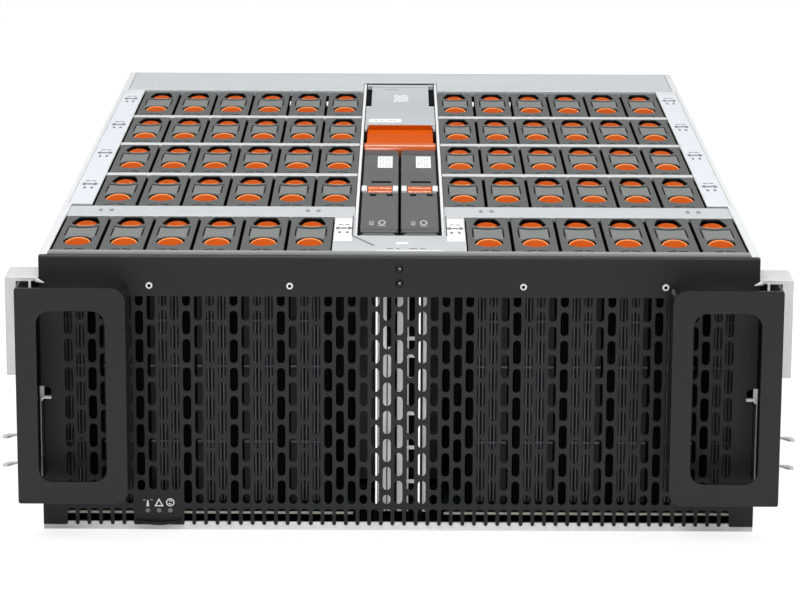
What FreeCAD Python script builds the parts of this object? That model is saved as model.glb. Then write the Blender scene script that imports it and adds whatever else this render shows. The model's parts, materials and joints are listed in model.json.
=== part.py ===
"""Top-loading rack disk shelf: five rows of twelve upright drive carriers round a centre channel.

Frame: millimetres, +X to the right as seen from the front, +Y to the back, +Z up. The origin is the
middle of the base of the whole object, handles and rear grips included.
"""
import FreeCAD, Part
import math
import os
from types import SimpleNamespace

import Sketcher

V = FreeCAD.Vector
doc = FreeCAD.newDocument("disk_shelf")

# ---------------------------------------------------------------- driving dimensions
SIZES = {
    # chassis
    "body_width": 441.0, "body_height": 175.0, "chassis_depth": 690.0,
    "gauge": 1.2, "fit_gap": 0.3, "rear_reach": 26.0,
    "edge_flange": 5.0, "top_step": 0.2, "pan_lip_height": 5.0, "pan_lip_depth": 2.0,
    # front panel and its slot pattern
    "panel_lip_depth": 15.0, "panel_bottom": 3.3,
    "slot_width": 4.9, "slot_length": 15.2, "slot_web": 2.8, "slot_spacing": 7.25,
    "slot_columns": 57.0, "slot_rows": 7.0, "grille_top": 149.3,
    "comb_height": 10.5, "status_height": 26.0, "status_first_column": 6.0, "status_columns": 4.0,
    "status_lip": 3.0, "status_lip_reach": 2.4, "pipe_radius": 1.6, "pipe_spacing": 7.0, "pipe_rise": 9.0,
    "hook_hole_radius": 2.6, "hook_hole_inset": 3.7, "hook_hole_level": 89.0,
    # handles
    "handle_reach": 28.0, "handle_width": 67.0, "handle_height": 135.3,
    "handle_bottom": 25.0, "handle_overhang": 12.0, "handle_wall": 2.0,
    "handle_corner": 8.5, "handle_outer_corner": 1.5, "grip_opening_width": 41.6, "grip_opening_height": 107.3,
    "grip_opening_inset": 12.9, "grip_opening_corner": 8.5, "handle_outer_gap": 9.0,
    # rack ears and their latches
    "rack_width": 482.6, "ear_gauge": 2.0, "ear_bottom": 28.0, "ear_top": 160.9,
    "ear_step": 99.0, "ear_lower_width": 11.5, "ear_shelf_depth": 29.0, "ear_web_length": 60.0,
    "latch_gauge": 1.5, "latch_travel": 5.0, "latch_width": 16.2, "latch_inset": 2.2,
    "latch_tail": 8.0, "latch_head": 32.0, "hook_reach": 9.5, "hook_depth": 7.0,
    "hook_spacing": 18.0, "lower_hook_height": 42.5, "tab_height": 50.0, "tab_hook": 4.5, "rivet_radius": 1.5,
    # drive bays
    "drive_pitch": 29.0, "cap_width": 26.9, "cap_depth": 104.0,
    "cap_drop": 1.5, "row_pitch": 114.0, "first_row_front": 19.5, "second_row_front": 157.5,
    "first_row_inner": 42.6, "inner_bay_edge": 29.1,
    "drive_width": 26.1, "drive_depth": 101.6, "drive_height": 147.0,
    "finger_width": 17.6, "finger_length": 27.0, "finger_front": 13.5, "grip_bar": 29.0,
    "grip_slope": 11.0, "pocket_depth": 9.0, "cap_skin": 2.4, "pinch_travel": 1.5,
    "arm_width": 18.0, "arm_height": 70.0, "cap_wall": 1.6, "grip_inset": 0.4, "grip_reach": 6.0,
    "partition_thickness": 0.9, "partition_rise": 2.0, "divider_width": 8.0,
    # boards
    "board_height": 9.4, "board_setback": 1.0, "board_thickness": 1.6, "socket_height": 3.0, "socket_length": 42.0,
    "socket_width": 7.0, "standoff_width": 6.0,
    # centre channel
    "channel_width": 53.6, "channel_hem": 2.0, "channel_front": 62.0, "post_width": 29.0,
    "post_front": 16.0, "post_back_gap": 4.0, "cartridge_front": 65.0, "cartridge_length": 293.0,
    "lever_front": 80.0, "lever_length": 125.0, "lever_thickness": 7.0, "hinge_radius": 4.0,
    "pin_radius": 1.2, "pin_play": 0.05, "hinge_room": 0.5, "latch_pocket": 22.0, "latch_well": 19.0, "cheek": 1.2,
    "cartridge_gap": 0.5,
    "canister_front": 380.0, "canister_back": 643.0, "bail_length": 74.0, "bail_roll": 6.0,
    "bail_room": 20.0, "bail_sink": 7.0, "bail_seat": 5.2, "bail_thickness": 4.0, "bail_knuckle": 4.0,
    "psu_height": 40.0, "psu_width": 50.0, "psu_length": 240.0,
    # rear
    "deck_front": 606.0, "deck_lip": 9.0, "fan_width": 92.0, "fan_height": 98.0, "fan_depth": 66.0,
    "fan_bore": 42.0, "fan_level": 86.0, "fan_hub": 17.0, "shaft_radius": 1.5, "fan_blades": 7.0,
    "spider_depth": 4.0, "spider_arm": 5.0, "hub_length": 27.5, "pull_tab_width": 32.0, "pull_tab_reach": 20.0,
    "io_width": 46.0, "io_length": 56.0, "io_reach": 15.0, "ejector_thickness": 5.0,
    # rail screw holes in the side walls
    "rail_hole_radius": 2.15, "rail_hole_span": 400.0, "rail_hole_rise": 40.0,
    "rail_hole_level": 50.0,
}

sheet = doc.addObject("Spreadsheet::Sheet", "Sizes")
for row, (alias, number) in enumerate(SIZES.items(), start=1):
    sheet.set(f"A{row}", alias)
    sheet.set(f"B{row}", str(number))
    sheet.setAlias(f"B{row}", alias)
doc.recompute()


class Dim:
    """A length and the spreadsheet expression that it comes from."""

    def __init__(self, value, text):
        self.value = float(value)
        self.text = text

    @staticmethod
    def of(other):
        return other if isinstance(other, Dim) else Dim(other, repr(float(other)))

    def __add__(self, other):
        other = Dim.of(other)
        return Dim(self.value + other.value, f"({self.text} + {other.text})")

    def __sub__(self, other):
        other = Dim.of(other)
        return Dim(self.value - other.value, f"({self.text} - {other.text})")

    def __mul__(self, other):
        other = Dim.of(other)
        return Dim(self.value * other.value, f"({self.text} * {other.text})")

    def __truediv__(self, other):
        other = Dim.of(other)
        return Dim(self.value / other.value, f"({self.text} / {other.text})")

    def __neg__(self):
        return Dim(-self.value, f"(0 - {self.text})")

    __radd__ = __add__
    __rmul__ = __mul__

    def __rsub__(self, other):
        return Dim.of(other) - self


S = SimpleNamespace(**{alias: Dim(sheet.get(alias), f"Sizes.{alias}") for alias in SIZES})

# ---------------------------------------------------------------- shared places
FRONT = (S.handle_reach - S.chassis_depth - S.rear_reach) / 2   # front face of the front panel
HALF = S.body_width / 2
WALL_IN = HALF - S.gauge                                        # inner face of a side wall
TOP = S.body_height
CAP_TOP = TOP - S.cap_drop
SHEET_TOP = TOP - S.gauge - S.top_step                          # top of dividers and channel walls
BOARD_TOP = S.board_height + S.board_thickness
DRIVE_BOTTOM = BOARD_TOP + S.socket_height + S.fit_gap
DRIVE_TOP = DRIVE_BOTTOM + S.drive_height
CHANNEL_IN = S.channel_width / 2
CHANNEL_OUT = CHANNEL_IN + S.gauge
HEM_OUT = CHANNEL_IN + S.channel_hem                            # outer edge of the hem on a channel wall
ROWS = 5
COLUMNS = 6
REAR = FRONT + S.chassis_depth
SIDES = {"left": -1, "right": 1}

kept = {}


def keep(name, obj):
    """Names a finished sub-part, whose shape is written to parts/NAME.step."""
    obj.Label = name
    kept[name] = obj
    return obj


# ---------------------------------------------------------------- sketch and feature helpers
def origin_plane(body, role):
    for feature in body.Origin.OriginFeatures:
        if feature.Role == role + "_Plane":
            return feature
    raise ValueError(role)


def new_sketch(body, plane, offset=0.0):
    """An empty sketch on one of the body's origin planes, moved along that plane's own axis."""
    sketch = body.newObject("Sketcher::SketchObject", body.Name + "_sketch")
    sketch.AttachmentSupport = [(origin_plane(body, plane), "")]
    sketch.MapMode = "FlatFace"
    shift = Dim.of(offset) * (-1.0 if plane == "XZ" else 1.0)
    sketch.AttachmentOffset = FreeCAD.Placement(V(0, 0, shift.value), FreeCAD.Rotation())
    sketch.setExpression("AttachmentOffset.Base.z", shift.text)
    return sketch


def fix_point(sketch, geometry, corner, place):
    """Ties one vertex to the sketch origin by two driven distances."""
    for kind, size in zip(("DistanceX", "DistanceY"), place):
        size = Dim.of(size)
        index = sketch.addConstraint(
            Sketcher.Constraint(kind, -1, 1, geometry, corner, size.value))
        sketch.setExpression(f"Constraints[{index}]", size.text)


def outline(sketch, points):
    """A closed outline of straight lines whose every corner is driven by the sheet."""
    places = [(Dim.of(a), Dim.of(b)) for a, b in points]
    first = sketch.GeometryCount
    for (a, b), (c, d) in zip(places, places[1:] + places[:1]):
        sketch.addGeometry(Part.LineSegment(V(a.value, b.value, 0), V(c.value, d.value, 0)), False)
    count = len(places)
    for i in range(count):
        after = first + (i + 1) % count
        sketch.addConstraint(Sketcher.Constraint("Coincident", first + i, 2, after, 1))
        fix_point(sketch, first + i, 1, places[i])


def rectangle(sketch, low, high):
    outline(sketch, [low, (high[0], low[1]), high, (low[0], high[1])])


def rounded_rectangle(sketch, low, high, radius):
    """A rectangle with four equal corner arcs, driven by its sides and its radius."""
    x0, y0, x1, y1, r = (Dim.of(n) for n in (*low, *high, radius))
    a, b, c, d, q = x0.value, y0.value, x1.value, y1.value, r.value
    corners = [((c - q, b + q), 1.5), ((c - q, d - q), 0.0), ((a + q, d - q), 0.5), ((a + q, b + q), 1.0)]
    sides = [((a + q, b), (c - q, b)), ((c, b + q), (c, d - q)), ((c - q, d), (a + q, d)), ((a, d - q), (a, b + q))]
    first = sketch.GeometryCount
    for (start, end), (centre, turn) in zip(sides, corners):
        sketch.addGeometry(Part.LineSegment(V(*start, 0), V(*end, 0)), False)
        circle = Part.Circle(V(*centre, 0), V(0, 0, 1), q)
        sketch.addGeometry(Part.ArcOfCircle(circle, turn * math.pi, (turn + 0.5) * math.pi), False)
    for i in range(4):
        line, arc = first + 2 * i, first + 2 * i + 1
        sketch.addConstraint(Sketcher.Constraint("Tangent", line, 2, arc, 1))
        sketch.addConstraint(Sketcher.Constraint("Tangent", arc, 2, first + (2 * i + 2) % 8, 1))
        sketch.addConstraint(Sketcher.Constraint("Horizontal" if i % 2 == 0 else "Vertical", line))
        if i:
            sketch.addConstraint(Sketcher.Constraint("Equal", first + 1, arc))
    index = sketch.addConstraint(Sketcher.Constraint("Radius", first + 1, q))
    sketch.setExpression(f"Constraints[{index}]", r.text)
    for kind, line, size in (("DistanceY", 0, y0), ("DistanceX", 2, x1), ("DistanceY", 4, y1), ("DistanceX", 6, x0)):
        index = sketch.addConstraint(Sketcher.Constraint(kind, -1, 1, first + line, 1, size.value))
        sketch.setExpression(f"Constraints[{index}]", size.text)


def circle(sketch, centre, radius):
    x, y, r = (Dim.of(n) for n in (*centre, radius))
    index = sketch.addGeometry(Part.Circle(V(x.value, y.value, 0), V(0, 0, 1), r.value), False)
    fix_point(sketch, index, 3, (x, y))
    constraint = sketch.addConstraint(Sketcher.Constraint("Radius", index, r.value))
    sketch.setExpression(f"Constraints[{constraint}]", r.text)


def new_body(name):
    return doc.addObject("PartDesign::Body", name)


def pad(body, plane, offset, length, draw, *args):
    """Draws on a plane at an offset and pads towards plus X, Y or Z."""
    sketch = new_sketch(body, plane, offset)
    draw(sketch, *args)
    feature = body.newObject("PartDesign::Pad", body.Name + "_pad")
    feature.Profile = sketch
    length = Dim.of(length)
    feature.Length = length.value
    feature.setExpression("Length", length.text)
    feature.Reversed = plane == "XZ"
    doc.recompute()
    return feature


def pocket(body, plane, offset, length, draw, *args):
    """Draws on a plane at an offset and cuts towards plus X, Y or Z."""
    before = body.Shape.Volume
    sketch = new_sketch(body, plane, offset)
    draw(sketch, *args)
    feature = body.newObject("PartDesign::Pocket", body.Name + "_pocket")
    feature.Profile = sketch
    length = Dim.of(length)
    feature.Length = length.value
    feature.setExpression("Length", length.text)
    feature.Reversed = plane != "XZ"
    doc.recompute()
    if body.Shape.Volume > before - 1e-6:
        raise RuntimeError(f"{feature.Name} of {body.Name} cut nothing")
    return feature


def group(name, shapes):
    """Identical loose solids kept together in one sub-part."""
    feature = doc.addObject("Part::Feature", name)
    feature.Shape = Part.makeCompound(shapes)
    return keep(name, feature)


def box_between(low, high):
    a = V(*(Dim.of(n).value for n in low))
    b = V(*(Dim.of(n).value for n in high))
    return Part.makeBox(b.x - a.x, b.y - a.y, b.z - a.z, a)


def moved(shape, x=0.0, y=0.0, z=0.0):
    copy = shape.copy()
    copy.translate(V(*(Dim.of(n).value for n in (x, y, z))))
    return copy


def span(side, near, far):
    """The low and high X of a piece that runs from near to far on one side of the middle."""
    return (near, far) if side > 0 else (-Dim.of(far), -Dim.of(near))


def prism(points, axis, start, length):
    """A straight prism: points lie in the plane across the axis, in X, Y, Z order."""
    start, length = Dim.of(start).value, Dim.of(length).value
    flat = [(Dim.of(a).value, Dim.of(b).value) for a, b in points]
    place = {"X": lambda a, b: V(start, a, b), "Y": lambda a, b: V(a, start, b), "Z": lambda a, b: V(a, b, start)}
    along = {"X": V(length, 0, 0), "Y": V(0, length, 0), "Z": V(0, 0, length)}
    wire = Part.makePolygon([place[axis](a, b) for a, b in flat + flat[:1]])
    return Part.Face(wire).extrude(along[axis])


def polygon(centre, radius, sides, turn=0.0):
    """Corners of a regular polygon in a plane, each driven by the sheet."""
    x, z = centre
    return [(x + radius * math.cos(2 * math.pi * i / sides + turn),
             z + radius * math.sin(2 * math.pi * i / sides + turn)) for i in range(sides)]


def upright_post(radius, sides, length, centre, axis_y):
    """A many-sided stud along minus Y, for small round pieces that nothing turns on."""
    corners = [(Dim.of(a), Dim.of(b)) for a, b in polygon(centre, radius, sides)]
    return prism(corners, "Y", axis_y - length, length)


# ---------------------------------------------------------------- chassis sheet metal
def base_pan():
    """Floor sheet with a folded front lip, laid between the side walls."""
    body = new_body("pan")
    front = FRONT + S.gauge
    lip = front + S.pan_lip_depth
    rear = REAR - S.gauge
    profile = [(front, 0), (rear, 0), (rear, S.gauge), (lip, S.gauge),
               (lip, S.pan_lip_height), (front, S.pan_lip_height)]
    pad(body, "YZ", -WALL_IN, WALL_IN * 2, outline, profile)
    keep("base_pan", body)


def side_wall(name, side):
    """Side sheet with a narrow top hem and, beside rows two to five, a wide label flange."""
    body = new_body(name)
    hem = HALF - S.edge_flange
    profile = [(HALF, 0), (HALF, TOP), (hem, TOP), (hem, TOP - S.gauge), (WALL_IN, TOP - S.gauge), (WALL_IN, 0)]
    pad(body, "XZ", FRONT + S.gauge, S.chassis_depth - S.gauge * 2, outline,
        [(side * x, z) for x, z in profile])
    flange_in = S.inner_bay_edge + S.drive_pitch * (COLUMNS - 1) + S.cap_width + 1.0
    low, high = span(side, flange_in, hem)
    pad(body, "XZ", FRONT + S.second_row_front, S.deck_front - S.second_row_front - S.fit_gap,
        rectangle, (low, TOP - S.gauge), (high, TOP))
    cut_low = span(side, WALL_IN, HALF)[0]
    for y_step in (-0.5, 0.5):
        for z_step in (-0.5, 0.5):
            pocket(body, "YZ", cut_low - 1.0, S.gauge + 2.0, circle,
                   (S.rail_hole_span * y_step, S.rail_hole_level + S.rail_hole_rise * z_step),
                   S.rail_hole_radius)
    keep(name, body)


def column_middles():
    """X of every slot column, evenly spread about the middle of the panel."""
    columns = round(S.slot_columns.value)
    return [(column - (columns - 1) / 2) * S.slot_spacing.value for column in range(columns)]


def slot_places():
    """Centre x, low z and high z of every slot; every other column starts with a short slot."""
    top = S.grille_top.value
    length, pitch = S.slot_length.value, (S.slot_length + S.slot_web).value
    half_pitch = pitch / 2
    rows = round(S.slot_rows.value)
    bottom = top - half_pitch - (rows - 1) * pitch - length
    left, right = status_window()
    for column, x in enumerate(column_middles()):
        over_status = left < x < right
        short_top = column % 2 == 0
        first = top - half_pitch if short_top else top
        for row in range(rows):
            high = first - row * pitch
            if not (over_status and high - length < status_top()):
                yield x, high - length, high
        if short_top:
            yield x, first + S.slot_web.value, top
        elif not over_status:
            yield x, bottom, first - rows * pitch


def status_window():
    """X range of the status panel, whose edges lie midway between two slot columns."""
    left = (S.status_first_column.value - S.slot_columns.value / 2) * S.slot_spacing.value
    return left, left + S.status_columns.value * S.slot_spacing.value


def status_top():
    return (S.panel_bottom + S.status_height).value


def front_panel():
    """Black front sheet: staggered slots, a comb along its lower edge and a folded top lip."""
    front, gauge = FRONT.value, S.gauge.value
    half, top, low = HALF.value, TOP.value, S.panel_bottom.value
    tooth_top = low + S.comb_height.value
    half_slot = S.slot_width.value / 2
    left, right = status_window()
    edge = [(-half, low)]
    for x in column_middles():
        if x < left or x > right:
            edge += [(x - half_slot, low), (x - half_slot, tooth_top), (x + half_slot, tooth_top), (x + half_slot, low)]
        elif x - S.slot_spacing.value < left:
            edge += [(left, low), (left, status_top()), (right, status_top()), (right, low)]
    edge += [(half, low), (half, top), (-half, top)]

    def wire(points):
        return Part.makePolygon([V(x, front, z) for x, z in points + points[:1]])

    holes = [wire([(x - half_slot, a), (x + half_slot, a), (x + half_slot, b), (x - half_slot, b)])
             for x, a, b in slot_places()]
    for side in SIDES.values():
        centre = (side * (HALF - S.hook_hole_inset), S.hook_hole_level)
        holes.append(wire([(a.value, b.value) for a, b in polygon(centre, S.hook_hole_radius, 10)]))
    sheet_face = Part.makeFace([wire(edge)] + holes, "Part::FaceMakerBullseye")
    panel = sheet_face.extrude(V(0, gauge, 0))
    lip_half = half - S.edge_flange.value
    lip = Part.makeBox(2 * lip_half, S.panel_lip_depth.value - gauge, gauge, V(-lip_half, front + gauge, top - gauge))
    feature = doc.addObject("Part::Feature", "panel")
    feature.Shape = panel.fuse(lip)
    keep("front_panel", feature)


def status_panel():
    """Moulded insert under the slots with three light pipes and a thumb lip."""
    left, right = (n for n in status_window())
    gap = S.fit_gap.value
    body = new_body("status")
    low, high = left + gap, right - gap
    bottom, top = S.panel_bottom + S.fit_gap, Dim.of(status_top() - gap)
    depth = S.gauge + S.pan_lip_depth + S.board_setback - S.fit_gap
    pad(body, "XZ", FRONT, S.gauge - S.fit_gap, rectangle, (low, bottom), (high, top))
    pad(body, "XZ", FRONT, depth, rectangle, (low, S.pan_lip_height + S.fit_gap), (high, top))
    middle = (low + high) / 2
    lip = [(low + 2.0, FRONT), (low + 7.0, FRONT - S.status_lip_reach * 0.7), (middle, FRONT - S.status_lip_reach),
           (high - 7.0, FRONT - S.status_lip_reach * 0.7), (high - 2.0, FRONT)]
    pad(body, "XY", bottom, S.status_lip, outline, lip)
    level = bottom + S.pipe_rise
    places = [middle + S.pipe_spacing * step for step in (-1, 0, 1)]
    for x in places:
        pocket(body, "XZ", FRONT, depth, outline, polygon((x, level), S.pipe_radius + 0.1, 10))
    keep("status_panel", body)
    group("status_light_pipes", [upright_post(S.pipe_radius, 10, depth, (x, level), FRONT + depth) for x in places])


def handle(name, side):
    """Front pull handle: a rounded face with a hand opening and two folded-back sides."""
    outer = HALF + S.handle_overhang
    inner = outer - S.handle_width
    top = S.handle_bottom + S.handle_height
    back = S.handle_reach - S.handle_wall
    body = new_body(name)
    low, high = span(side, inner, outer)
    pad(body, "XZ", FRONT - S.handle_reach, S.handle_reach, rounded_rectangle,
        (low, S.handle_bottom), (high, top), S.handle_corner)
    near_outside = outer - S.handle_corner - 1.0
    low, high = span(side, near_outside, outer)
    pad(body, "XZ", FRONT - S.handle_reach, S.handle_reach, rounded_rectangle,
        (low, S.handle_bottom), (high, top), S.handle_outer_corner)
    low, high = span(side, inner + S.handle_wall, outer - S.handle_wall)
    pocket(body, "XY", S.handle_bottom - 1.0, S.handle_height + 2.0, rectangle,
           (low, FRONT - back), (high, FRONT + 1.0))
    low, high = span(side, outer - S.handle_wall - 1.0, outer + 1.0)
    pocket(body, "XY", S.handle_bottom - 1.0, S.handle_height + 2.0, rectangle,
           (low, FRONT - S.handle_outer_gap), (high, FRONT + 1.0))
    low, high = span(side, outer - S.grip_opening_inset - S.grip_opening_width, outer - S.grip_opening_inset)
    middle = S.handle_bottom + S.handle_height / 2
    pocket(body, "XZ", FRONT - S.handle_reach - 1.0, S.handle_wall + 2.0, rounded_rectangle,
           (low, middle - S.grip_opening_height / 2), (high, middle + S.grip_opening_height / 2),
           S.grip_opening_corner)
    keep(name, body)


def rack_ear(name, side):
    """Galvanised rack ear: stepped front flange, top shelf and a web along the side wall."""
    near = HALF + S.fit_gap
    far = S.rack_width / 2
    body = new_body(name)
    flange = [(near, S.ear_bottom), (near + S.ear_lower_width, S.ear_bottom),
              (near + S.ear_lower_width, S.ear_step), (far, S.ear_step), (far, S.ear_top), (near, S.ear_top)]
    pad(body, "XZ", FRONT, S.ear_gauge, outline, [(side * x, z) for x, z in flange])
    low, high = span(side, near, near + S.ear_gauge)
    pad(body, "YZ", low, high - low, rectangle, (FRONT, S.ear_bottom), (FRONT + S.ear_web_length, S.ear_top))
    low, high = span(side, near, far)
    pad(body, "XY", S.ear_top - S.ear_gauge, S.ear_gauge, rectangle,
        (low, FRONT), (high, FRONT + S.ear_shelf_depth))
    keep(name, body)


def rack_latch(name, side):
    """Sliding latch in front of the ear: two hooks outward, a finger tab inward, two guide slots."""
    back = FRONT - S.fit_gap
    inner = HALF - S.latch_inset
    outer = inner + S.latch_width
    low_z = S.lower_hook_height - S.latch_tail
    high_z = S.lower_hook_height + S.hook_spacing + S.latch_head
    body = new_body(name)
    low, high = span(side, inner, outer)
    pad(body, "XZ", back - S.latch_gauge, S.latch_gauge, rectangle, (low, low_z), (high, high_z))
    low, high = span(side, outer - 1.0, outer + S.hook_reach)
    for level in (S.lower_hook_height, S.lower_hook_height + S.hook_spacing):
        hook = [(outer - 1.0, back), (outer + S.hook_reach - 3.0, back),
                (outer + S.hook_reach, back - 4.0), (outer + S.hook_reach, back - S.hook_depth),
                (outer + S.hook_reach - 3.0, back - S.hook_depth), (outer + 2.0, back - S.latch_gauge),
                (outer - 1.0, back - S.latch_gauge)]
        pad(body, "XY", level, S.latch_gauge, outline, [(side * x, y) for x, y in hook])
    low, high = span(side, inner, inner + S.latch_gauge)
    pad(body, "XY", low_z + 2.0, S.tab_height, rectangle, (low, back - S.hook_depth - 1.0), (high, back - 1.0))
    low, high = span(side, inner - S.tab_hook, inner + S.latch_gauge)
    pad(body, "XY", low_z + 2.0 + S.tab_height - S.latch_gauge, S.latch_gauge, rectangle,
        (low, back - S.hook_depth / 2), (high, back - 1.0))
    rivet_x = inner + 7.2
    slot = S.rivet_radius + 0.2
    low, high = span(side, rivet_x - slot, rivet_x + S.latch_travel + slot)
    levels = [low_z + 4.0, high_z - 6.0]
    for level in levels:
        pocket(body, "XZ", back - S.latch_gauge - 1.0, S.latch_gauge + 2.0, rectangle,
               (low, level - slot), (high, level + slot))
    keep(name, body)
    return [(side * rivet_x, level) for level in levels]


def latch_rivets(places):
    """Shouldered rivets that hold the two latches on the ears."""
    length = S.fit_gap * 2 + S.latch_gauge
    stem = upright_post(S.rivet_radius, 8, length, (0.0, 0.0), 0.0)
    head = upright_post(S.rivet_radius * 2, 8, 1.0, (0.0, 0.0), -length)
    group("latch_rivets", [moved(stem.fuse(head), x, FRONT, z) for x, z in places])


# ---------------------------------------------------------------- drive bays
def row_front(row):
    """Front of the carriers in a row; the first row stands apart from the other four."""
    if row == 0:
        return FRONT + S.first_row_front
    return FRONT + S.second_row_front + S.row_pitch * (row - 1)


def bay_x(row, side, column):
    """Low X of the carrier cap in a bay, counting outwards from the centre channel."""
    inner = S.first_row_inner if row == 0 else S.inner_bay_edge
    near = inner + S.drive_pitch * column
    return near if side > 0 else -(near + S.cap_width)


def cross_members():
    """Wide inverted channels between the first and second rows."""
    front = row_front(0) + S.cap_depth + 1.0
    rear = row_front(1) - 1.0
    shapes = []
    for side in SIDES.values():
        low, high = span(side, HEM_OUT + S.fit_gap, WALL_IN - S.fit_gap)
        foot = BOARD_TOP + S.fit_gap
        top = SHEET_TOP
        profile = [(front, foot), (front, top), (rear, top), (rear, foot), (rear - S.gauge, foot),
                   (rear - S.gauge, top - S.gauge), (front + S.gauge, top - S.gauge), (front + S.gauge, foot)]
        shapes.append(prism(profile, "X", low, high - low))
    group("cross_members", shapes)


def row_dividers():
    """Upright sheets with a folded top between rows two to five."""
    shapes = []
    foot = BOARD_TOP + S.fit_gap
    top = SHEET_TOP
    for row in (1, 2, 3):
        middle = row_front(row) + (S.row_pitch + S.cap_depth) / 2
        front, rear = middle - S.divider_width / 2, middle + S.divider_width / 2
        profile = [(front, foot), (front, top), (rear, top), (rear, top - S.gauge),
                   (front + S.gauge, top - S.gauge), (front + S.gauge, foot)]
        for side in SIDES.values():
            low, high = span(side, HEM_OUT + S.fit_gap, WALL_IN - S.fit_gap)
            shapes.append(prism(profile, "X", low, high - low))
    group("row_dividers", shapes)


def bay_partitions():
    """Thin guide blades between neighbouring carriers."""
    blade_top = DRIVE_TOP + S.partition_rise
    shapes = []
    for row in range(ROWS):
        front = row_front(row)
        for side in SIDES.values():
            for column in range(COLUMNS - 1):
                edge = bay_x(row, side, column + (1 if side > 0 else 0))
                middle = edge - (S.drive_pitch - S.cap_width) / 2
                half = S.partition_thickness / 2
                shapes.append(box_between((middle - half, front, BOARD_TOP),
                                          (middle + half, front + S.cap_depth, blade_top)))
    group("bay_partitions", shapes)


def boards():
    """Interconnect boards under the bays, their standoffs and one socket for each drive."""
    front, rear = FRONT + S.gauge + S.pan_lip_depth + S.board_setback, FRONT + S.deck_front - 4.0
    side_inner = CHANNEL_OUT + S.fit_gap
    side_outer = WALL_IN - 1.0
    plates = [box_between((span(side, side_inner, side_outer)[0], front, S.board_height),
                          (span(side, side_inner, side_outer)[1], rear, BOARD_TOP))
              for side in SIDES.values()]
    centre_rear = FRONT + S.canister_front - 12.0
    plates.append(box_between((-(CHANNEL_IN - 0.5), FRONT + S.channel_front, S.board_height),
                              (CHANNEL_IN - 0.5, centre_rear, BOARD_TOP)))
    group("baseboards", plates)
    half = S.standoff_width / 2
    posts = []
    for side in SIDES.values():
        for x in (side_inner + 12.0, side_outer - 12.0):
            for y in (front + 20.0, FRONT + S.second_row_front + S.row_pitch, rear - 20.0):
                posts.append(box_between((side * x - half, y - half, S.gauge),
                                         (side * x + half, y + half, S.board_height)))
    for y in (FRONT + S.channel_front + 12.0, centre_rear - 12.0):
        posts.append(box_between((-half, y - half, S.gauge), (half, y + half, S.board_height)))
    group("board_standoffs", posts)
    sockets = []
    for row in range(ROWS):
        for side in SIDES.values():
            for column in range(COLUMNS):
                middle = bay_x(row, side, column) + S.cap_width / 2
                front_y = row_front(row) + (S.cap_depth - S.socket_length) / 2
                half_socket = S.socket_width / 2
                sockets.append(box_between((middle - half_socket, front_y, BOARD_TOP),
                                           (middle + half_socket, front_y + S.socket_length,
                                            BOARD_TOP + S.socket_height)))
    group("drive_sockets", sockets)


def carrier_cap(name, hollow):
    """Carrier head at the origin corner: a cap with two finger openings and a grip bar between them."""
    body = new_body(name)
    depth, width = S.cap_depth, S.cap_width
    pad(body, "XY", DRIVE_TOP, CAP_TOP - DRIVE_TOP, rectangle, (0, 0), (width, depth))
    side = (width - S.finger_width) / 2
    front = S.finger_front
    rear = front + S.finger_length + S.grip_bar
    if hollow:
        wall = S.cap_wall
        pocket(body, "XY", DRIVE_TOP - 1.0, CAP_TOP - DRIVE_TOP - S.cap_skin + 1.0, rectangle,
               (wall, wall), (width - wall, depth - wall))
        opening_low = CAP_TOP - S.cap_skin - 1.0
    else:
        opening_low = CAP_TOP - S.pocket_depth
    for start in (front, rear):
        pocket(body, "XY", opening_low, CAP_TOP - opening_low + 1.0, rectangle,
               (side, start), (width - side, start + S.finger_length))
    if hollow:
        arm = (depth - S.drive_depth) / 2
        arm_side = (width - S.arm_width) / 2
        for low in (0, depth - arm):
            pad(body, "XY", DRIVE_TOP - S.arm_height, S.arm_height, rectangle,
                (arm_side, low), (width - arm_side, low + arm))
    return body


def grip_wedge(front_side):
    """Orange pinch grip at the cap's own corner: a ramp that falls away from the grip bar."""
    bar_front = S.finger_front + S.finger_length
    bar_rear = bar_front + S.grip_bar
    top = CAP_TOP - S.cap_skin - 0.2
    low = CAP_TOP - S.pocket_depth + 0.2
    inset = S.grip_inset
    side = (S.cap_width - S.finger_width) / 2 + inset
    if front_side:
        start, end = bar_front - 0.3, bar_front - S.grip_slope
    else:
        start, end = bar_rear + 0.3, bar_rear + S.grip_slope
    return [(start, low), (start, top), (end, low)], side


def fixed_carriers(movable):
    """Every carrier but the ones that are modelled to lift out, as three groups of solids."""
    cap_shape = carrier_cap("fixed_cap", hollow=False).Shape
    caps, grips, drives = [], [], []
    for row in range(ROWS):
        for side in SIDES.values():
            for column in range(COLUMNS):
                if (row, side, column) in movable:
                    continue
                x, y = bay_x(row, side, column), row_front(row)
                caps.append(moved(cap_shape, x, y))
                for front_side in (True, False):
                    profile, inset = grip_wedge(front_side)
                    wedge = prism(profile, "X", inset, S.cap_width - inset * 2)
                    grips.append(moved(wedge, x, y))
                drives.append(drive_block(x, y))
    group("drive_caps", caps)
    group("cap_grips", grips)
    group("hard_drives", drives)


def drive_block(x, y):
    side = (S.cap_width - S.drive_width) / 2
    end = (S.cap_depth - S.drive_depth) / 2
    return box_between((x + side, y + end, DRIVE_BOTTOM),
                       (x + side + S.drive_width, y + end + S.drive_depth, DRIVE_TOP))


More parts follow.
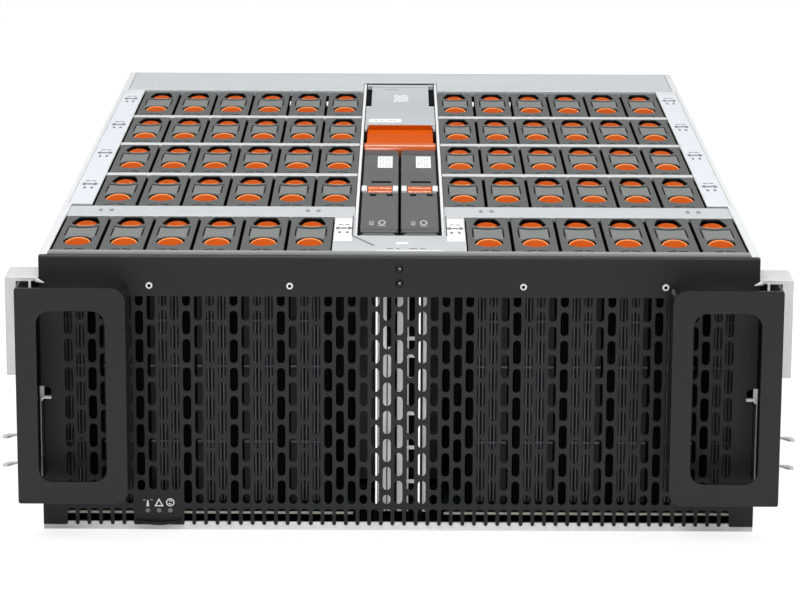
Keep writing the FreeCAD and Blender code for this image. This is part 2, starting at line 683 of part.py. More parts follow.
def movable_carrier(prefix, row, side, column):
    """A carrier that lifts out: cap with side arms, its drive, and two grips that pinch together."""
    x, y = bay_x(row, side, column), row_front(row)
    cap = carrier_cap(prefix + "_cap_body", hollow=True)
    place(cap, x, y)
    keep(prefix + "_cap", cap)
    drive = doc.addObject("Part::Box", prefix + "_drive_box")
    bind(drive, Length=S.drive_width, Width=S.drive_depth, Height=S.drive_height)
    place(drive, x + (S.cap_width - S.drive_width) / 2, y + (S.cap_depth - S.drive_depth) / 2, DRIVE_BOTTOM)
    keep(prefix + "_drive", drive)
    for label, front_side in (("front", True), ("rear", False)):
        profile, inset = grip_wedge(front_side)
        under = S.grip_reach if front_side else -S.grip_reach
        start, low = profile[0]
        top = profile[1][1]
        foot = DRIVE_TOP + 0.3
        end = profile[2][0]
        shape = [(start + under, foot), (start + under, top), (start, top), (end, low), (end, foot)]
        grip = new_body(f"{prefix}_{label}_grip")
        pad(grip, "YZ", inset, S.cap_width - inset * 2, outline, shape)
        place(grip, x, y)
        keep(f"{prefix}_{label}_grip", grip)


def bind(obj, **sizes):
    for prop, size in sizes.items():
        size = Dim.of(size)
        setattr(obj, prop, size.value)
        obj.setExpression(prop, size.text)


def place(obj, x=0.0, y=0.0, z=0.0):
    """Moves a finished object, with its position driven by the sheet."""
    places = [Dim.of(n) for n in (x, y, z)]
    obj.Placement = FreeCAD.Placement(V(*(n.value for n in places)), FreeCAD.Rotation())
    for axis, size in zip("xyz", places):
        obj.setExpression(f"Placement.Base.{axis}", size.text)


# ---------------------------------------------------------------- centre channel
def channel_wall(name, side):
    """Long upright sheet beside the cartridges, with a hem folded outwards along its top."""
    body = new_body(name)
    front, rear = FRONT + S.channel_front, REAR - S.gauge - S.fit_gap
    top = SHEET_TOP
    profile = [(CHANNEL_OUT, S.gauge), (CHANNEL_OUT, top - S.gauge), (HEM_OUT, top - S.gauge), (HEM_OUT, top),
               (CHANNEL_IN, top), (CHANNEL_IN, S.gauge)]
    pad(body, "XZ", front, rear - front, outline, [(side * x, z) for x, z in profile])
    keep(name, body)


def channel_surround():
    """U-shaped top plate round the front of the channel, folded down beside the first row."""
    outer = S.first_row_inner - 1.0
    inner = CHANNEL_OUT + S.fit_gap
    front = FRONT + S.panel_lip_depth + S.fit_gap
    mouth = FRONT + S.channel_front - 1.0
    rear = row_front(0) + S.cap_depth
    top = SHEET_TOP + S.gauge
    body = new_body("surround")
    pad(body, "XY", top - S.gauge, S.gauge, outline,
        [(-outer, front), (outer, front), (outer, rear), (inner, rear), (inner, mouth),
         (-inner, mouth), (-inner, rear), (-outer, rear)])
    for side in SIDES.values():
        low, high = span(side, outer - S.gauge, outer)
        pad(body, "XZ", front + 2.0, rear - front - 2.0, rectangle,
            (low, BOARD_TOP + S.fit_gap), (high, top - S.gauge))
    keep("channel_surround", body)


def centre_post():
    """Open channel behind the middle of the front panel that carries the surround."""
    half = S.post_width / 2
    front, back = FRONT + S.post_front, FRONT + S.channel_front - S.post_back_gap
    body = new_body("post")
    profile = [(-half, front), (-half, back), (half, back), (half, front), (half - S.gauge, front),
               (half - S.gauge, back - S.gauge), (-half + S.gauge, back - S.gauge), (-half + S.gauge, front)]
    top = SHEET_TOP - S.fit_gap
    pad(body, "XY", S.gauge, top - S.gauge, outline, profile)
    for level in (0.25, 0.55, 0.8):
        middle = S.gauge + (top - S.gauge) * level
        pocket(body, "XZ", back - S.gauge - 1.0, S.gauge + 2.0, rectangle,
               (-half / 3, middle - 8.0), (half / 3, middle + 8.0))
    keep("centre_post", body)


def cartridge(name_side, side):
    """Expander cartridge: case with hinge cheeks, a lift lever along its front half and a latch."""
    low, high = span(side, S.cartridge_gap, CHANNEL_IN - S.cartridge_gap)
    width = high - low
    front = FRONT + S.cartridge_front
    rear = front + S.cartridge_length
    base = DRIVE_BOTTOM
    top = CAP_TOP
    deck = top - S.lever_thickness - S.fit_gap
    well = top - S.latch_well
    axis_y = FRONT + S.lever_front
    axis_z = top - S.lever_thickness / 2 - 1.0
    seat = S.hinge_radius + S.hinge_room
    lever_end = axis_y + S.lever_length
    pocket_end = lever_end + S.latch_pocket
    case = new_body(f"case_{name_side}")
    profile = [(front, base), (rear, base), (rear, top - 4.0), (rear - 8.0, top - 4.0), (rear - 8.0, top),
               (pocket_end, top), (pocket_end, well), (lever_end + 1.0, well),
               (lever_end + 1.0, deck), (axis_y + seat, deck), (axis_y + seat, axis_z - seat),
               (axis_y - seat, axis_z - seat), (axis_y - seat, top - 3.0), (front + 2.0, top - 3.0),
               (front, top - 8.0)]
    pad(case, "YZ", low, width, outline, profile)
    cheek = S.cheek
    for start in (low, high - cheek):
        pad(case, "YZ", start, cheek, rectangle, (axis_y - seat - 1.0, axis_z - seat - 1.0),
            (axis_y + seat - 1.0, top - 0.4))
    pocket(case, "YZ", low - 1.0, width + 2.0, circle, (axis_y, axis_z), S.pin_radius + S.pin_play)
    slot_low = low + width * 0.27
    slot_high = low + width * 0.8
    pocket(case, "XY", top - 3.0, 4.0, rectangle, (slot_low, pocket_end + 11.0), (slot_high, pocket_end + 16.0))
    keep(f"cartridge_case_{name_side}", case)

    lever = new_body(f"lever_body_{name_side}")
    inset = cheek + S.fit_gap
    under = top - S.lever_thickness
    plate_start = axis_y + seat + 1.5
    plate = [(plate_start, under), (lever_end, under), (lever_end, top - 0.2), (plate_start, top - 0.2)]
    pad(lever, "YZ", low + 0.2, width - 0.4, outline, plate)
    neck = [(axis_y, axis_z - 2.0), (plate_start + 1.0, axis_z - 2.0), (plate_start + 1.0, top - 0.2),
            (axis_y, top - 0.8)]
    pad(lever, "YZ", low + inset, width - inset * 2, outline, neck)
    pad(lever, "YZ", low + inset, width - inset * 2, outline, polygon((axis_y, axis_z), S.hinge_radius - 0.4, 12))
    pocket(lever, "YZ", low, width, circle, (axis_y, axis_z), S.pin_radius)
    for start in (low + width * 0.27, low + width * 0.7):
        pocket(lever, "XY", top - 2.5, 4.0, rectangle, (start, lever_end - 8.0), (start + 3.0, lever_end - 4.0))
    pin = Part.makeCylinder(S.pin_radius.value, width.value, V(low.value, axis_y.value, axis_z.value), V(1, 0, 0))
    solids = doc.addObject("Part::Feature", f"lever_{name_side}")
    solids.Shape = Part.makeCompound([lever.Shape.copy(), pin])
    keep(f"lift_lever_{name_side}", solids)

    latch = new_body(f"latch_body_{name_side}")
    latch_low = low + width * 0.18
    latch_high = low + width * 0.82
    start = lever_end + 2.6
    end = pocket_end - 4.5
    foot = well + S.fit_gap
    shape = [(start + 3.0, foot), (end - 3.0, foot), (end - 1.0, top - 13.0), (end, top - 2.5), (end - 3.5, top - 0.5),
             (end - 6.5, top - 2.4), (start + 4.5, top - 2.0), (start + 1.0, top - 3.2), (start, top - 13.0)]
    pad(latch, "YZ", latch_low, latch_high - latch_low, outline, shape)
    keep(f"orange_latch_{name_side}", latch)


def shelf_levels():
    """Bottoms of the two power supplies, of the sheet between them and of the canister shelf."""
    lower = S.gauge + S.fit_gap
    divider = lower + S.psu_height + S.fit_gap
    upper = divider + S.gauge + S.fit_gap
    shelf = upper + S.psu_height + S.fit_gap
    return lower, divider, upper, shelf


def channel_shelves():
    """Two sheets across the rear of the channel: between the supplies and under the canister."""
    _, divider, _, shelf = shelf_levels()
    half = CHANNEL_IN - S.fit_gap
    shapes = []
    for level, front in ((divider, REAR - S.psu_length), (shelf, FRONT + S.canister_front)):
        shapes.append(box_between((-half, front, level), (half, REAR - S.gauge - S.fit_gap, level + S.gauge)))
    group("channel_shelves", shapes)


def canister():
    """Metal electronics canister that lifts out by a broad orange bail at its front."""
    base = shelf_levels()[3] + S.gauge + S.fit_gap
    front, rear = FRONT + S.canister_front, FRONT + S.canister_back
    half = CHANNEL_IN - 0.6
    top = CAP_TOP
    axis_y = front + S.bail_length + 2.0
    axis_z = top - S.bail_sink
    seat = S.bail_seat
    case = new_body("canister_body")
    low_deck = top - S.bail_room
    profile = [(front, base), (rear, base), (rear, top), (axis_y + seat, top), (axis_y + seat, axis_z - seat),
               (axis_y - seat, axis_z - seat), (axis_y - seat, low_deck), (front, low_deck)]
    pad(case, "YZ", -half, half * 2, outline, profile)
    cheek = 1.5
    for start in (-half, half - cheek):
        pad(case, "YZ", start, cheek, rectangle, (axis_y - seat, axis_z - seat - 1.0), (axis_y + seat + 1.0, top - 1.0))
    pocket(case, "YZ", -half - 1.0, half * 2 + 2.0, circle, (axis_y, axis_z), S.pin_radius + S.pin_play)
    for side in SIDES.values():
        low, high = span(side, half - 4.0, half + 1.0)
        pocket(case, "XY", top - 12.0, 13.0, rectangle, (low, rear - 100.0), (high, rear - 6.0))
    keep("canister_case", case)

    bail = new_body("bail_body")
    inset = half - cheek - 0.4
    thick = S.bail_thickness
    roll = S.bail_roll
    roll_y = axis_y - S.bail_length + roll
    roll_z = top - roll - 0.4
    arm = [(axis_y, axis_z - 2.0), (axis_y, axis_z + 2.0), (axis_y - 12.0, top - 3.0),
           (roll_y, top - 3.0), (roll_y, top - 3.0 - thick), (axis_y - 12.0, axis_z - 2.4)]
    pad(bail, "YZ", -inset, inset * 2, outline, arm)
    pad(bail, "YZ", -inset, inset * 2, outline, polygon((axis_y, axis_z), S.bail_knuckle, 12))
    pad(bail, "YZ", -half, half * 2, outline, polygon((roll_y, roll_z), roll, 16, math.pi / 16))
    pocket(bail, "YZ", -half - 1.0, half * 2 + 2.0, circle, (axis_y, axis_z), S.pin_radius)
    pin = Part.makeCylinder(S.pin_radius.value, 2 * half.value, V(-half.value, axis_y.value, axis_z.value), V(1, 0, 0))
    solids = doc.addObject("Part::Feature", "bail")
    solids.Shape = Part.makeCompound([bail.Shape.copy(), pin])
    keep("canister_bail", solids)


# ---------------------------------------------------------------- rear
def rear_deck():
    """Fixed top plate over the fans, folded down along its front edge."""
    body = new_body("deck")
    front = FRONT + S.deck_front
    rear = REAR - S.gauge
    half = HALF - S.edge_flange - S.fit_gap
    profile = [(front, TOP), (rear, TOP), (rear, TOP - S.gauge), (front + S.gauge, TOP - S.gauge),
               (front + S.gauge, TOP - S.deck_lip), (front, TOP - S.deck_lip)]
    pad(body, "YZ", -half, half * 2, outline, profile)
    low = FRONT + S.deck_front - 1.0
    pocket(body, "XY", TOP - S.deck_lip - 1.0, S.deck_lip + 2.0, rectangle,
           (-(CHANNEL_OUT + 1.0), low), (CHANNEL_OUT + 1.0, FRONT + S.canister_back + 2.0))
    keep("rear_deck", body)


def fan_middles():
    """X of each fan module's middle, two on each side of the channel."""
    inner = CHANNEL_OUT + 1.6 + S.fan_width / 2
    outer = inner + S.fan_width + 2.0
    return {"fan_left_outer": -outer, "fan_left_inner": -inner, "fan_right_inner": inner, "fan_right_outer": outer}


def rear_panel():
    """Rear sheet with openings for four fans, two supplies and the interface module, and long vents."""
    body = new_body("rear_sheet")
    y = REAR - S.gauge
    pad(body, "XZ", y, S.gauge, rectangle, (-HALF, 0), (HALF, TOP))
    gap = S.fit_gap

    def cut(low, high):
        pocket(body, "XZ", y - 1.0, S.gauge + 2.0, rectangle, low, high)

    half_fan, half_height = S.fan_width / 2 + gap, S.fan_height / 2 + gap
    for middle in fan_middles().values():
        cut((middle - half_fan, S.fan_level - half_height), (middle + half_fan, S.fan_level + half_height))
        for level in (14.0, 24.0, 148.0, 158.0):
            cut((middle - 38.0, level), (middle + 38.0, level + 5.0))
    lower, _, upper, shelf = shelf_levels()
    half_psu = S.psu_width / 2 + gap
    for level in (lower, upper):
        cut((-half_psu, level - gap), (half_psu, level + S.psu_height + gap))
    half_io = S.io_width / 2 + gap
    cut((-half_io, shelf + S.gauge), (half_io, TOP - 4.0))
    keep("rear_panel", body)


def fan_module(name, middle):
    """Slide-out fan: square housing with a round duct, spider and pull tab, and its own rotor."""
    rear = REAR + 2.0
    front = rear - S.fan_depth
    body = new_body(name + "_housing_body")
    half_width, half_height = S.fan_width / 2, S.fan_height / 2
    pad(body, "XZ", front, S.fan_depth, rectangle, (middle - half_width, S.fan_level - half_height),
        (middle + half_width, S.fan_level + half_height))
    pocket(body, "XZ", front - 1.0, S.fan_depth + 2.0, outline, polygon((middle, S.fan_level), S.fan_bore, 24))
    spider = S.spider_depth
    spider_y = rear - spider
    arm, reach = S.spider_arm / 2, S.fan_bore + 1.0
    pad(body, "XZ", spider_y, spider, rectangle, (middle - reach, S.fan_level - arm), (middle + reach, S.fan_level + arm))
    pad(body, "XZ", spider_y, spider, rectangle, (middle - arm, S.fan_level - reach), (middle + arm, S.fan_level + reach))
    pad(body, "XZ", spider_y, spider, outline, polygon((middle, S.fan_level), S.fan_hub, 12))
    pocket(body, "XZ", spider_y - 1.0, spider + 2.0, circle, (middle, S.fan_level), S.shaft_radius + S.pin_play)
    tab_top = S.fan_level + half_height
    tab_end = rear + S.pull_tab_reach
    tab = [(rear, tab_top - 6.0), (tab_end, tab_top - 4.5), (tab_end, tab_top - 1.5), (rear, tab_top)]
    pull_tab = prism(tab, "X", middle - S.pull_tab_width / 2, S.pull_tab_width)
    housing = doc.addObject("Part::Feature", name + "_housing")
    housing.Shape = Part.makeCompound([body.Shape.copy(), pull_tab])
    keep(name + "_housing", housing)

    hub_front = spider_y - S.hub_length - 0.5
    rotor = new_body(name + "_rotor_body")
    pad(rotor, "XZ", hub_front, S.hub_length, outline, polygon((middle, S.fan_level), S.fan_hub, 12))
    pad(rotor, "XZ", hub_front + S.hub_length - 0.5, spider + 0.2, circle, (middle, S.fan_level), S.shaft_radius)
    blades = [blade(middle.value, hub_front.value, i) for i in range(round(S.fan_blades.value))]
    solid = rotor.Shape.copy()
    for one in blades:
        solid = solid.fuse(one)
    feature = doc.addObject("Part::Feature", name + "_rotor")
    feature.Shape = solid
    keep(name + "_rotor", feature)


def blade(middle, front, index):
    """One pitched fan blade: a thin plate turned about its own length, then about the shaft."""
    root, tip = S.fan_hub.value - 2.0, S.fan_bore.value - 1.6
    chord, thick = 20.0, 1.8
    plate = Part.makeBox(tip - root, chord, thick, V(root, -chord / 2, -thick / 2))
    plate.rotate(V(0, 0, 0), V(1, 0, 0), 38.0)
    plate.rotate(V(0, 0, 0), V(0, 1, 0), 360.0 / S.fan_blades.value * index)
    plate.translate(V(middle, front + S.hub_length.value / 2, S.fan_level.value))
    return plate


def power_supply(name, level):
    """Hot-plug supply: case with an inlet recess and a fixed pull loop, and a sprung side latch."""
    half = S.psu_width / 2 - S.fit_gap
    rear = REAR + 1.0
    top = level + S.psu_height
    body = new_body(name + "_case_body")
    pad(body, "XZ", rear - S.psu_length, S.psu_length, rectangle, (-half, level), (half, top))
    middle = level + S.psu_height / 2
    pocket(body, "XZ", rear - 9.0, 10.0, rectangle, (-half + 4.0, middle - 8.0), (-half + 28.0, middle + 8.0))
    loop_low, loop_high = half - 16.0, half - 7.0
    reach = S.rear_reach - 1.0
    loop = [(rear - 1.0, level + 4.0), (rear + reach, level + 4.0), (rear + reach, top - 4.0), (rear - 1.0, top - 4.0),
            (rear - 1.0, top - 8.0), (rear + reach - 4.0, top - 8.0), (rear + reach - 4.0, level + 8.0),
            (rear - 1.0, level + 8.0)]
    pad(body, "YZ", loop_low, loop_high - loop_low, outline, loop)
    channel_low = half - 5.2
    pocket(body, "XZ", rear - 16.0, 17.0, rectangle, (channel_low, middle - 9.4), (half + 1.0, middle + 9.4))
    keep(name + "_case", body)
    latch = new_body(name + "_latch_body")
    pad(latch, "XZ", rear - 15.6, 30.0, rectangle, (half - 2.2, middle - 9.0), (half, middle + 9.0))
    keep(name + "_latch", latch)


def interface_module():
    """Rear interface module with four port recesses and a swinging ejector lever."""
    base = shelf_levels()[3] + S.gauge + S.fit_gap
    half = S.io_width / 2
    rear = REAR + S.io_reach
    top = TOP - 4.6
    body = new_body("io_body")
    pad(body, "XZ", rear - S.io_length, S.io_length, rectangle, (-half, base), (half, top))
    for x in (-19.0, 1.5):
        for level in (base + 8.0, base + 26.0):
            pocket(body, "XZ", rear - 10.0, 11.0, rectangle, (x, level), (x + 17.5, level + 9.0))
    axis_z = base + 52.0
    recess = 6.0
    pocket(body, "XZ", rear - 8.0, 9.0, rectangle, (-half - 1.0, axis_z - recess), (half + 1.0, axis_z + recess))
    pivot = (-half + 4.0, rear - S.ejector_thickness / 2)
    pin_low, pin_length = axis_z - recess - 2.0, (recess + 2.0) * 2
    pocket(body, "XY", pin_low, pin_length, circle, pivot, S.pin_radius + S.pin_play)
    keep("interface_module_case", body)
    lever = new_body("io_lever_body")
    reach = recess - S.fit_gap
    pad(lever, "XY", axis_z - reach, reach * 2, outline,
        [(-half + 1.0, rear - S.ejector_thickness), (half - 2.0, rear - S.ejector_thickness),
         (half - 2.0, rear), (-half + 1.0, rear)])
    pocket(lever, "XY", axis_z - reach, reach * 2, circle, pivot, S.pin_radius)
    pin = Part.makeCylinder(S.pin_radius.value, Dim.of(pin_length).value,
                            V(pivot[0].value, pivot[1].value, Dim.of(pin_low).value))
    solids = doc.addObject("Part::Feature", "ejector")
    solids.Shape = Part.makeCompound([lever.Shape.copy(), pin])
    keep("ejector_lever", solids)


MOVABLE = {"outer_carrier": (0, -1, 5), "inner_carrier": (2, 1, 2)}


def main():
    os.makedirs("parts", exist_ok=True)
    base_pan()
    rivets = []
    for label, side in SIDES.items():
        side_wall(f"side_wall_{label}", side)
        handle(f"pull_handle_{label}", side)
        rack_ear(f"rack_ear_{label}", side)
        rivets += rack_latch(f"rack_latch_{label}", side)
        channel_wall(f"channel_wall_{label}", side)
        cartridge(label, side)
    latch_rivets(rivets)
    front_panel()
    status_panel()
    cross_members()
    row_dividers()
    bay_partitions()
    boards()
    fixed_carriers(set(MOVABLE.values()))
    for prefix, bay in MOVABLE.items():
        movable_carrier(prefix, *bay)
    channel_surround()
    centre_post()
    channel_shelves()
    canister()
    rear_deck()
    rear_panel()
    for name, middle in fan_middles().items():
        fan_module(name, middle)
    lower, _, upper, _ = shelf_levels()
    power_supply("lower_supply", lower)
    power_supply("upper_supply", upper)
    interface_module()
    doc.recompute()

    for obj in doc.Objects:
        if "Invalid" in obj.State or "Error" in obj.State:
            raise RuntimeError(f"{obj.Name} failed: {obj.State}")
    for name, obj in kept.items():
        if obj.Shape.isNull() or not obj.Shape.isValid():
            raise RuntimeError(f"{name} has no valid shape")
        obj.Shape.exportStep(f"parts/{name}.step")
    print(len(kept), "sub-parts written")


main()
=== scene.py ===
"""Looks of the disk shelf: metal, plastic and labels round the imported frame.

Pieces are made in millimetres, in the frame of the part, and turned to metres as they are added.
"""
import bmesh
import bpy
import json
import math
from mathutils import Matrix, Vector


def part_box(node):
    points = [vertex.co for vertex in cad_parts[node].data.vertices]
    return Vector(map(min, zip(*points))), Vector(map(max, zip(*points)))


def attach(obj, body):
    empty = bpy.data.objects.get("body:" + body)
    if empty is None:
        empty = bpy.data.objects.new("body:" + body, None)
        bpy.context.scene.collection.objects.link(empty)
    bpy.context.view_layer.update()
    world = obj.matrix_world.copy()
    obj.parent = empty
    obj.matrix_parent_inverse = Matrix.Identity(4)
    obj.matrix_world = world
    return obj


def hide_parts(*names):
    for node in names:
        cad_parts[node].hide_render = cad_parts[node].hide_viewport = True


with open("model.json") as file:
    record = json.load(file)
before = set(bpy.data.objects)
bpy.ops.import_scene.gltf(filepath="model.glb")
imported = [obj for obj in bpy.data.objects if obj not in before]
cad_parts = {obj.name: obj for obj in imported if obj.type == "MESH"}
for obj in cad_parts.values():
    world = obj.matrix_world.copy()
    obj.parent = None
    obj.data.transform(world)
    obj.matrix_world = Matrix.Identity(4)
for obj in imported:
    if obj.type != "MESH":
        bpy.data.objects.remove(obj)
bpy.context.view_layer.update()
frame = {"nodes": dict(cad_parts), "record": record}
MM = 0.001
SIDES = {"left": -1, "right": 1}


def box_mm(node):
    """Lowest and highest corner of a CAD node, in millimetres."""
    return [Vector(corner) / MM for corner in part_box(node)]


# ---------------------------------------------------------------- places read from the frame
PANEL_LOW, PANEL_HIGH = box_mm("front_panel")
FRONT, HALF, TOP = PANEL_LOW.y, PANEL_HIGH.x, PANEL_HIGH.z
REAR = box_mm("rear_panel")[1].y
GAUGE = 1.2
FLANGE_TOP = TOP - 0.12            # room for the labels on the side flanges
BAY_LOW, BAY_HIGH = box_mm("inner_carrier_cap")          # third row, third bay right of the channel
OUTER_LOW, OUTER_HIGH = box_mm("outer_carrier_cap")      # first row, outermost bay on the left
CAP_WIDTH, CAP_DEPTH, CAP_TOP = BAY_HIGH.x - BAY_LOW.x, BAY_HIGH.y - BAY_LOW.y, BAY_HIGH.z
DRIVE_TOP = box_mm("inner_carrier_drive")[1].z
DRIVE_PITCH, ROW_PITCH = 29.0, 114.0
INNER_EDGE = BAY_LOW.x - 2 * DRIVE_PITCH
FIRST_ROW_EDGE = -OUTER_HIGH.x - 5 * DRIVE_PITCH
ROWS, COLUMNS = 5, 6
MOVABLE = {(0, -1, 5): "outer_carrier", (2, 1, 2): "inner_carrier"}


def bay_corner(row, side, column):
    """Low X and front Y of the carrier cap in a bay, counting outwards from the channel."""
    near = (INNER_EDGE if row else FIRST_ROW_EDGE) + DRIVE_PITCH * column
    y = BAY_LOW.y + ROW_PITCH * (row - 2) if row else OUTER_LOW.y
    return (near if side > 0 else -near - CAP_WIDTH), y


BAYS = [(row, side, column) for row in range(ROWS) for side in SIDES.values() for column in range(COLUMNS)]
BODY_OF = {node: body for body, nodes in frame["record"]["behaviour"]["bodies"].items() for node in nodes}
SLOT_OF = {entry["node"]: entry["material_slot"] for entry in frame["record"]["subparts"]}


# ---------------------------------------------------------------- colour, camera, lamps
def linear(channel):
    """One sRGB channel, 0 to 255, as the shader wants it."""
    c = channel / 255
    return c / 12.92 if c <= 0.04045 else ((c + 0.055) / 1.055) ** 2.4


def rgb(red, green, blue):
    return (linear(red), linear(green), linear(blue), 1.0)


CAMERA_PLACE, LENS = (0.0005, -2.2711, 0.6020), 145.6
LOOK_DOWN, LEAN = 13.269, 0.252    # degrees below level, and round the line of sight


def add_camera():
    """A long lens in front of the shelf, looking slightly down on it."""
    data = bpy.data.cameras.new("camera")
    data.lens, data.sensor_width = LENS, 36.0
    data.clip_start, data.clip_end = 0.1, 30.0
    camera = bpy.data.objects.new("camera", data)
    tilt = Matrix.Rotation(math.radians(90 - LOOK_DOWN), 4, "X")
    lean = Matrix.Rotation(math.radians(LEAN), 4, "Z")
    camera.matrix_world = Matrix.Translation(CAMERA_PLACE) @ tilt @ lean
    bpy.context.scene.collection.objects.link(camera)
    bpy.context.scene.camera = camera


def add_softbox(name, place, aim, size, power):
    data = bpy.data.lights.new(name, "AREA")
    data.shape, data.size, data.size_y, data.energy = "RECTANGLE", size[0], size[1], power
    lamp = bpy.data.objects.new(name, data)
    lamp.location = place
    lamp.rotation_euler = (Vector(aim) - Vector(place)).to_track_quat("-Z", "Y").to_euler()
    bpy.context.scene.collection.objects.link(lamp)


# ---------------------------------------------------------------- shader nodes
def operator(operation, swapped=False):
    """A Python operator that adds the Math node of that name."""
    def method(self, other=0.0):
        return self.combined(other, operation, swapped)
    return method


class Maths:
    """A shader socket that can be used in a Python expression."""

    def __init__(self, paint, socket):
        self.paint, self.socket = paint, socket

    def combined(self, other, operation, swapped):
        other = other.socket if isinstance(other, Maths) else other
        pair = (other, self.socket) if swapped else (self.socket, other)
        return self.paint.node("ShaderNodeMath", {"operation": operation}, {0: pair[0], 1: pair[1]})

    __add__ = __radd__ = operator("ADD")
    __sub__ = operator("SUBTRACT")
    __rsub__ = operator("SUBTRACT", True)
    __mul__ = __rmul__ = operator("MULTIPLY")
    __gt__ = operator("GREATER_THAN")
    __lt__ = operator("LESS_THAN")
    __abs__ = operator("ABSOLUTE")
    wrap = operator("FLOORED_MODULO")


class Paint:
    """One material, or the world, with its nodes made by one method."""

    def __init__(self, name, kind="materials", shader="BSDF_PRINCIPLED"):
        self.owner = getattr(bpy.data, kind).new(name)
        self.owner.use_nodes = True
        self.tree = self.owner.node_tree
        self.shader = next(n for n in self.tree.nodes if n.type == shader)
        self.place = self.node("ShaderNodeTexCoord", {}, {}, "Object")

    def node(self, kind, settings, sockets, output=0):
        made = self.tree.nodes.new(kind)
        for key, setting in settings.items():
            setattr(made, key, setting)
        for key, entry in sockets.items():
            self.link(made.inputs[key], entry)
        return Maths(self, made.outputs[output])

    def link(self, socket, entry):
        if isinstance(entry, Maths):
            self.tree.links.new(entry.socket, socket)
        elif isinstance(entry, bpy.types.NodeSocket):
            self.tree.links.new(entry, socket)
        else:
            socket.default_value = entry

    def axes(self):
        """X, Y and Z of a point of the piece, in metres."""
        split = self.node("ShaderNodeSeparateXYZ", {}, {0: self.place}).socket.node
        return [Maths(self, out) for out in split.outputs]

    def stretched(self, scale):
        return self.node("ShaderNodeMapping", {}, {"Vector": self.place, "Scale": scale})

    def inside(self):
        """A mask of the points inside the closed chassis, where shade is painted; a piece that moves out
        keeps it.
        """
        x, y, z = self.axes()
        return (abs(x) < (HALF - 1.0) * MM) * (z < (TOP - 4.5) * MM) * (y > (FRONT + 3.0) * MM) \
            * (y < (REAR - 2.0) * MM)

    def noise(self, scale, detail=3.0, roughness=0.5, where=None):
        return self.node("ShaderNodeTexNoise", {}, {
            "Vector": where or self.place, "Scale": scale, "Detail": detail, "Roughness": roughness})

    def blend(self, factor, low, high):
        return self.node("ShaderNodeMix", {"data_type": "RGBA"}, {0: factor, 6: low, 7: high}, 2)

    def bump(self, height, strength, distance):
        self.link(self.shader.inputs["Normal"], self.node(
            "ShaderNodeBump", {}, {"Height": height, "Strength": strength, "Distance": distance}))

    def set(self, **entries):
        for key, entry in entries.items():
            self.link(self.shader.inputs[key.replace("_", " ").title().replace("Ior", "IOR")], entry)
        return self.owner


# ---------------------------------------------------------------- materials
def coated_black(name="coated_black", dark=rgb(27, 28, 29), light=rgb(33, 34, 35), gloss=0.4, shine=0.3):
    """Satin powder coat with a fine grain."""
    paint = Paint(name)
    grain = paint.noise(1600.0, 2.0)
    mottle = paint.noise(14.0, 2.0)
    paint.bump(grain, 0.12, 0.0002)
    return paint.set(base_color=paint.blend(mottle, dark, light), roughness=grain * 0.12 + gloss,
                     specular_ior_level=shine)


def rolled_lip():
    """The coat of the rolled top edge, paler towards the back as a painted sheen."""
    paint = Paint("panel_lip_grey")
    _, y, _ = paint.axes()
    # painted sheen: the lip grows paler towards its back
    painted_sheen = (y - FRONT * MM) * (1.0 / (LIP_DEPTH * MM))
    grain = paint.noise(1600.0, 2.0)
    paint.bump(grain, 0.12, 0.0002)
    return paint.set(base_color=paint.blend(painted_sheen, rgb(50, 51, 52), rgb(150, 152, 152)),
                     roughness=grain * 0.1 + 0.34, specular_ior_level=0.3)


def galvanised(name, dark, light, shine):
    """Zinc-coated sheet, painted near black as shade inside the chassis: faint spangle, drawn lines and a
    satin shine.
    """
    paint = Paint(name)
    spangle = paint.node("ShaderNodeTexVoronoi", {}, {"Vector": paint.place, "Scale": 220.0}, "Distance")
    drawn = paint.noise(60.0, 3.0, where=paint.stretched((1.0, 14.0, 1.0)))
    tone = spangle * 0.35 + drawn * 0.65
    paint.bump(paint.noise(900.0, 2.0), 0.05, 0.0002)
    # painted shade: near black inside the chassis
    sheet = paint.blend(paint.inside(), paint.blend(tone, dark, light), rgb(24, 25, 27))
    return paint.set(base_color=sheet, metallic=shine, roughness=tone * 0.16 + 0.34, specular_ior_level=0.4)


def moulded(name, dark, light, roughness, grain_size=1400.0, shine=0.18, shade_below=None):
    """Moulded plastic with a spark-eroded grain; its flanks get painted shade, near black, below a given
    height.
    """
    paint = Paint(name)
    grain = paint.noise(grain_size, 3.0)
    cloud = paint.noise(30.0, 2.0)
    paint.bump(grain, 0.12, 0.0002)
    colour = paint.blend(cloud, dark, light)
    if shade_below:
        _, _, z = paint.axes()
        # painted shade: near black below the given height
        colour = paint.blend(z < shade_below * MM, colour, rgb(22, 23, 24))
    return paint.set(base_color=colour, roughness=grain * 0.14 + roughness, specular_ior_level=shine)


def cast_drive():
    """Cast aluminium housing with a pebbled skin."""
    paint = Paint("cast_drive")
    cast = paint.noise(500.0, 4.0)
    paint.bump(cast, 0.2, 0.0003)
    return paint.set(base_color=paint.blend(cast, rgb(120, 122, 125), rgb(160, 162, 165)),
                     metallic=0.6, roughness=cast * 0.2 + 0.4)


def board_green():
    """Solder mask with parallel tracks and a pale cut edge towards the front."""
    paint = Paint("board_green")
    x, y, _ = paint.axes()
    track = abs(x.wrap(0.0031) - 0.0012) < 0.0003
    mask = paint.blend(track, rgb(14, 34, 24), rgb(24, 52, 34))
    edge = y < (FRONT + 4.3) * MM
    colour = paint.blend(edge, mask, rgb(206, 216, 196))
    return paint.set(base_color=colour, roughness=paint.noise(90.0) * 0.2 + 0.35)


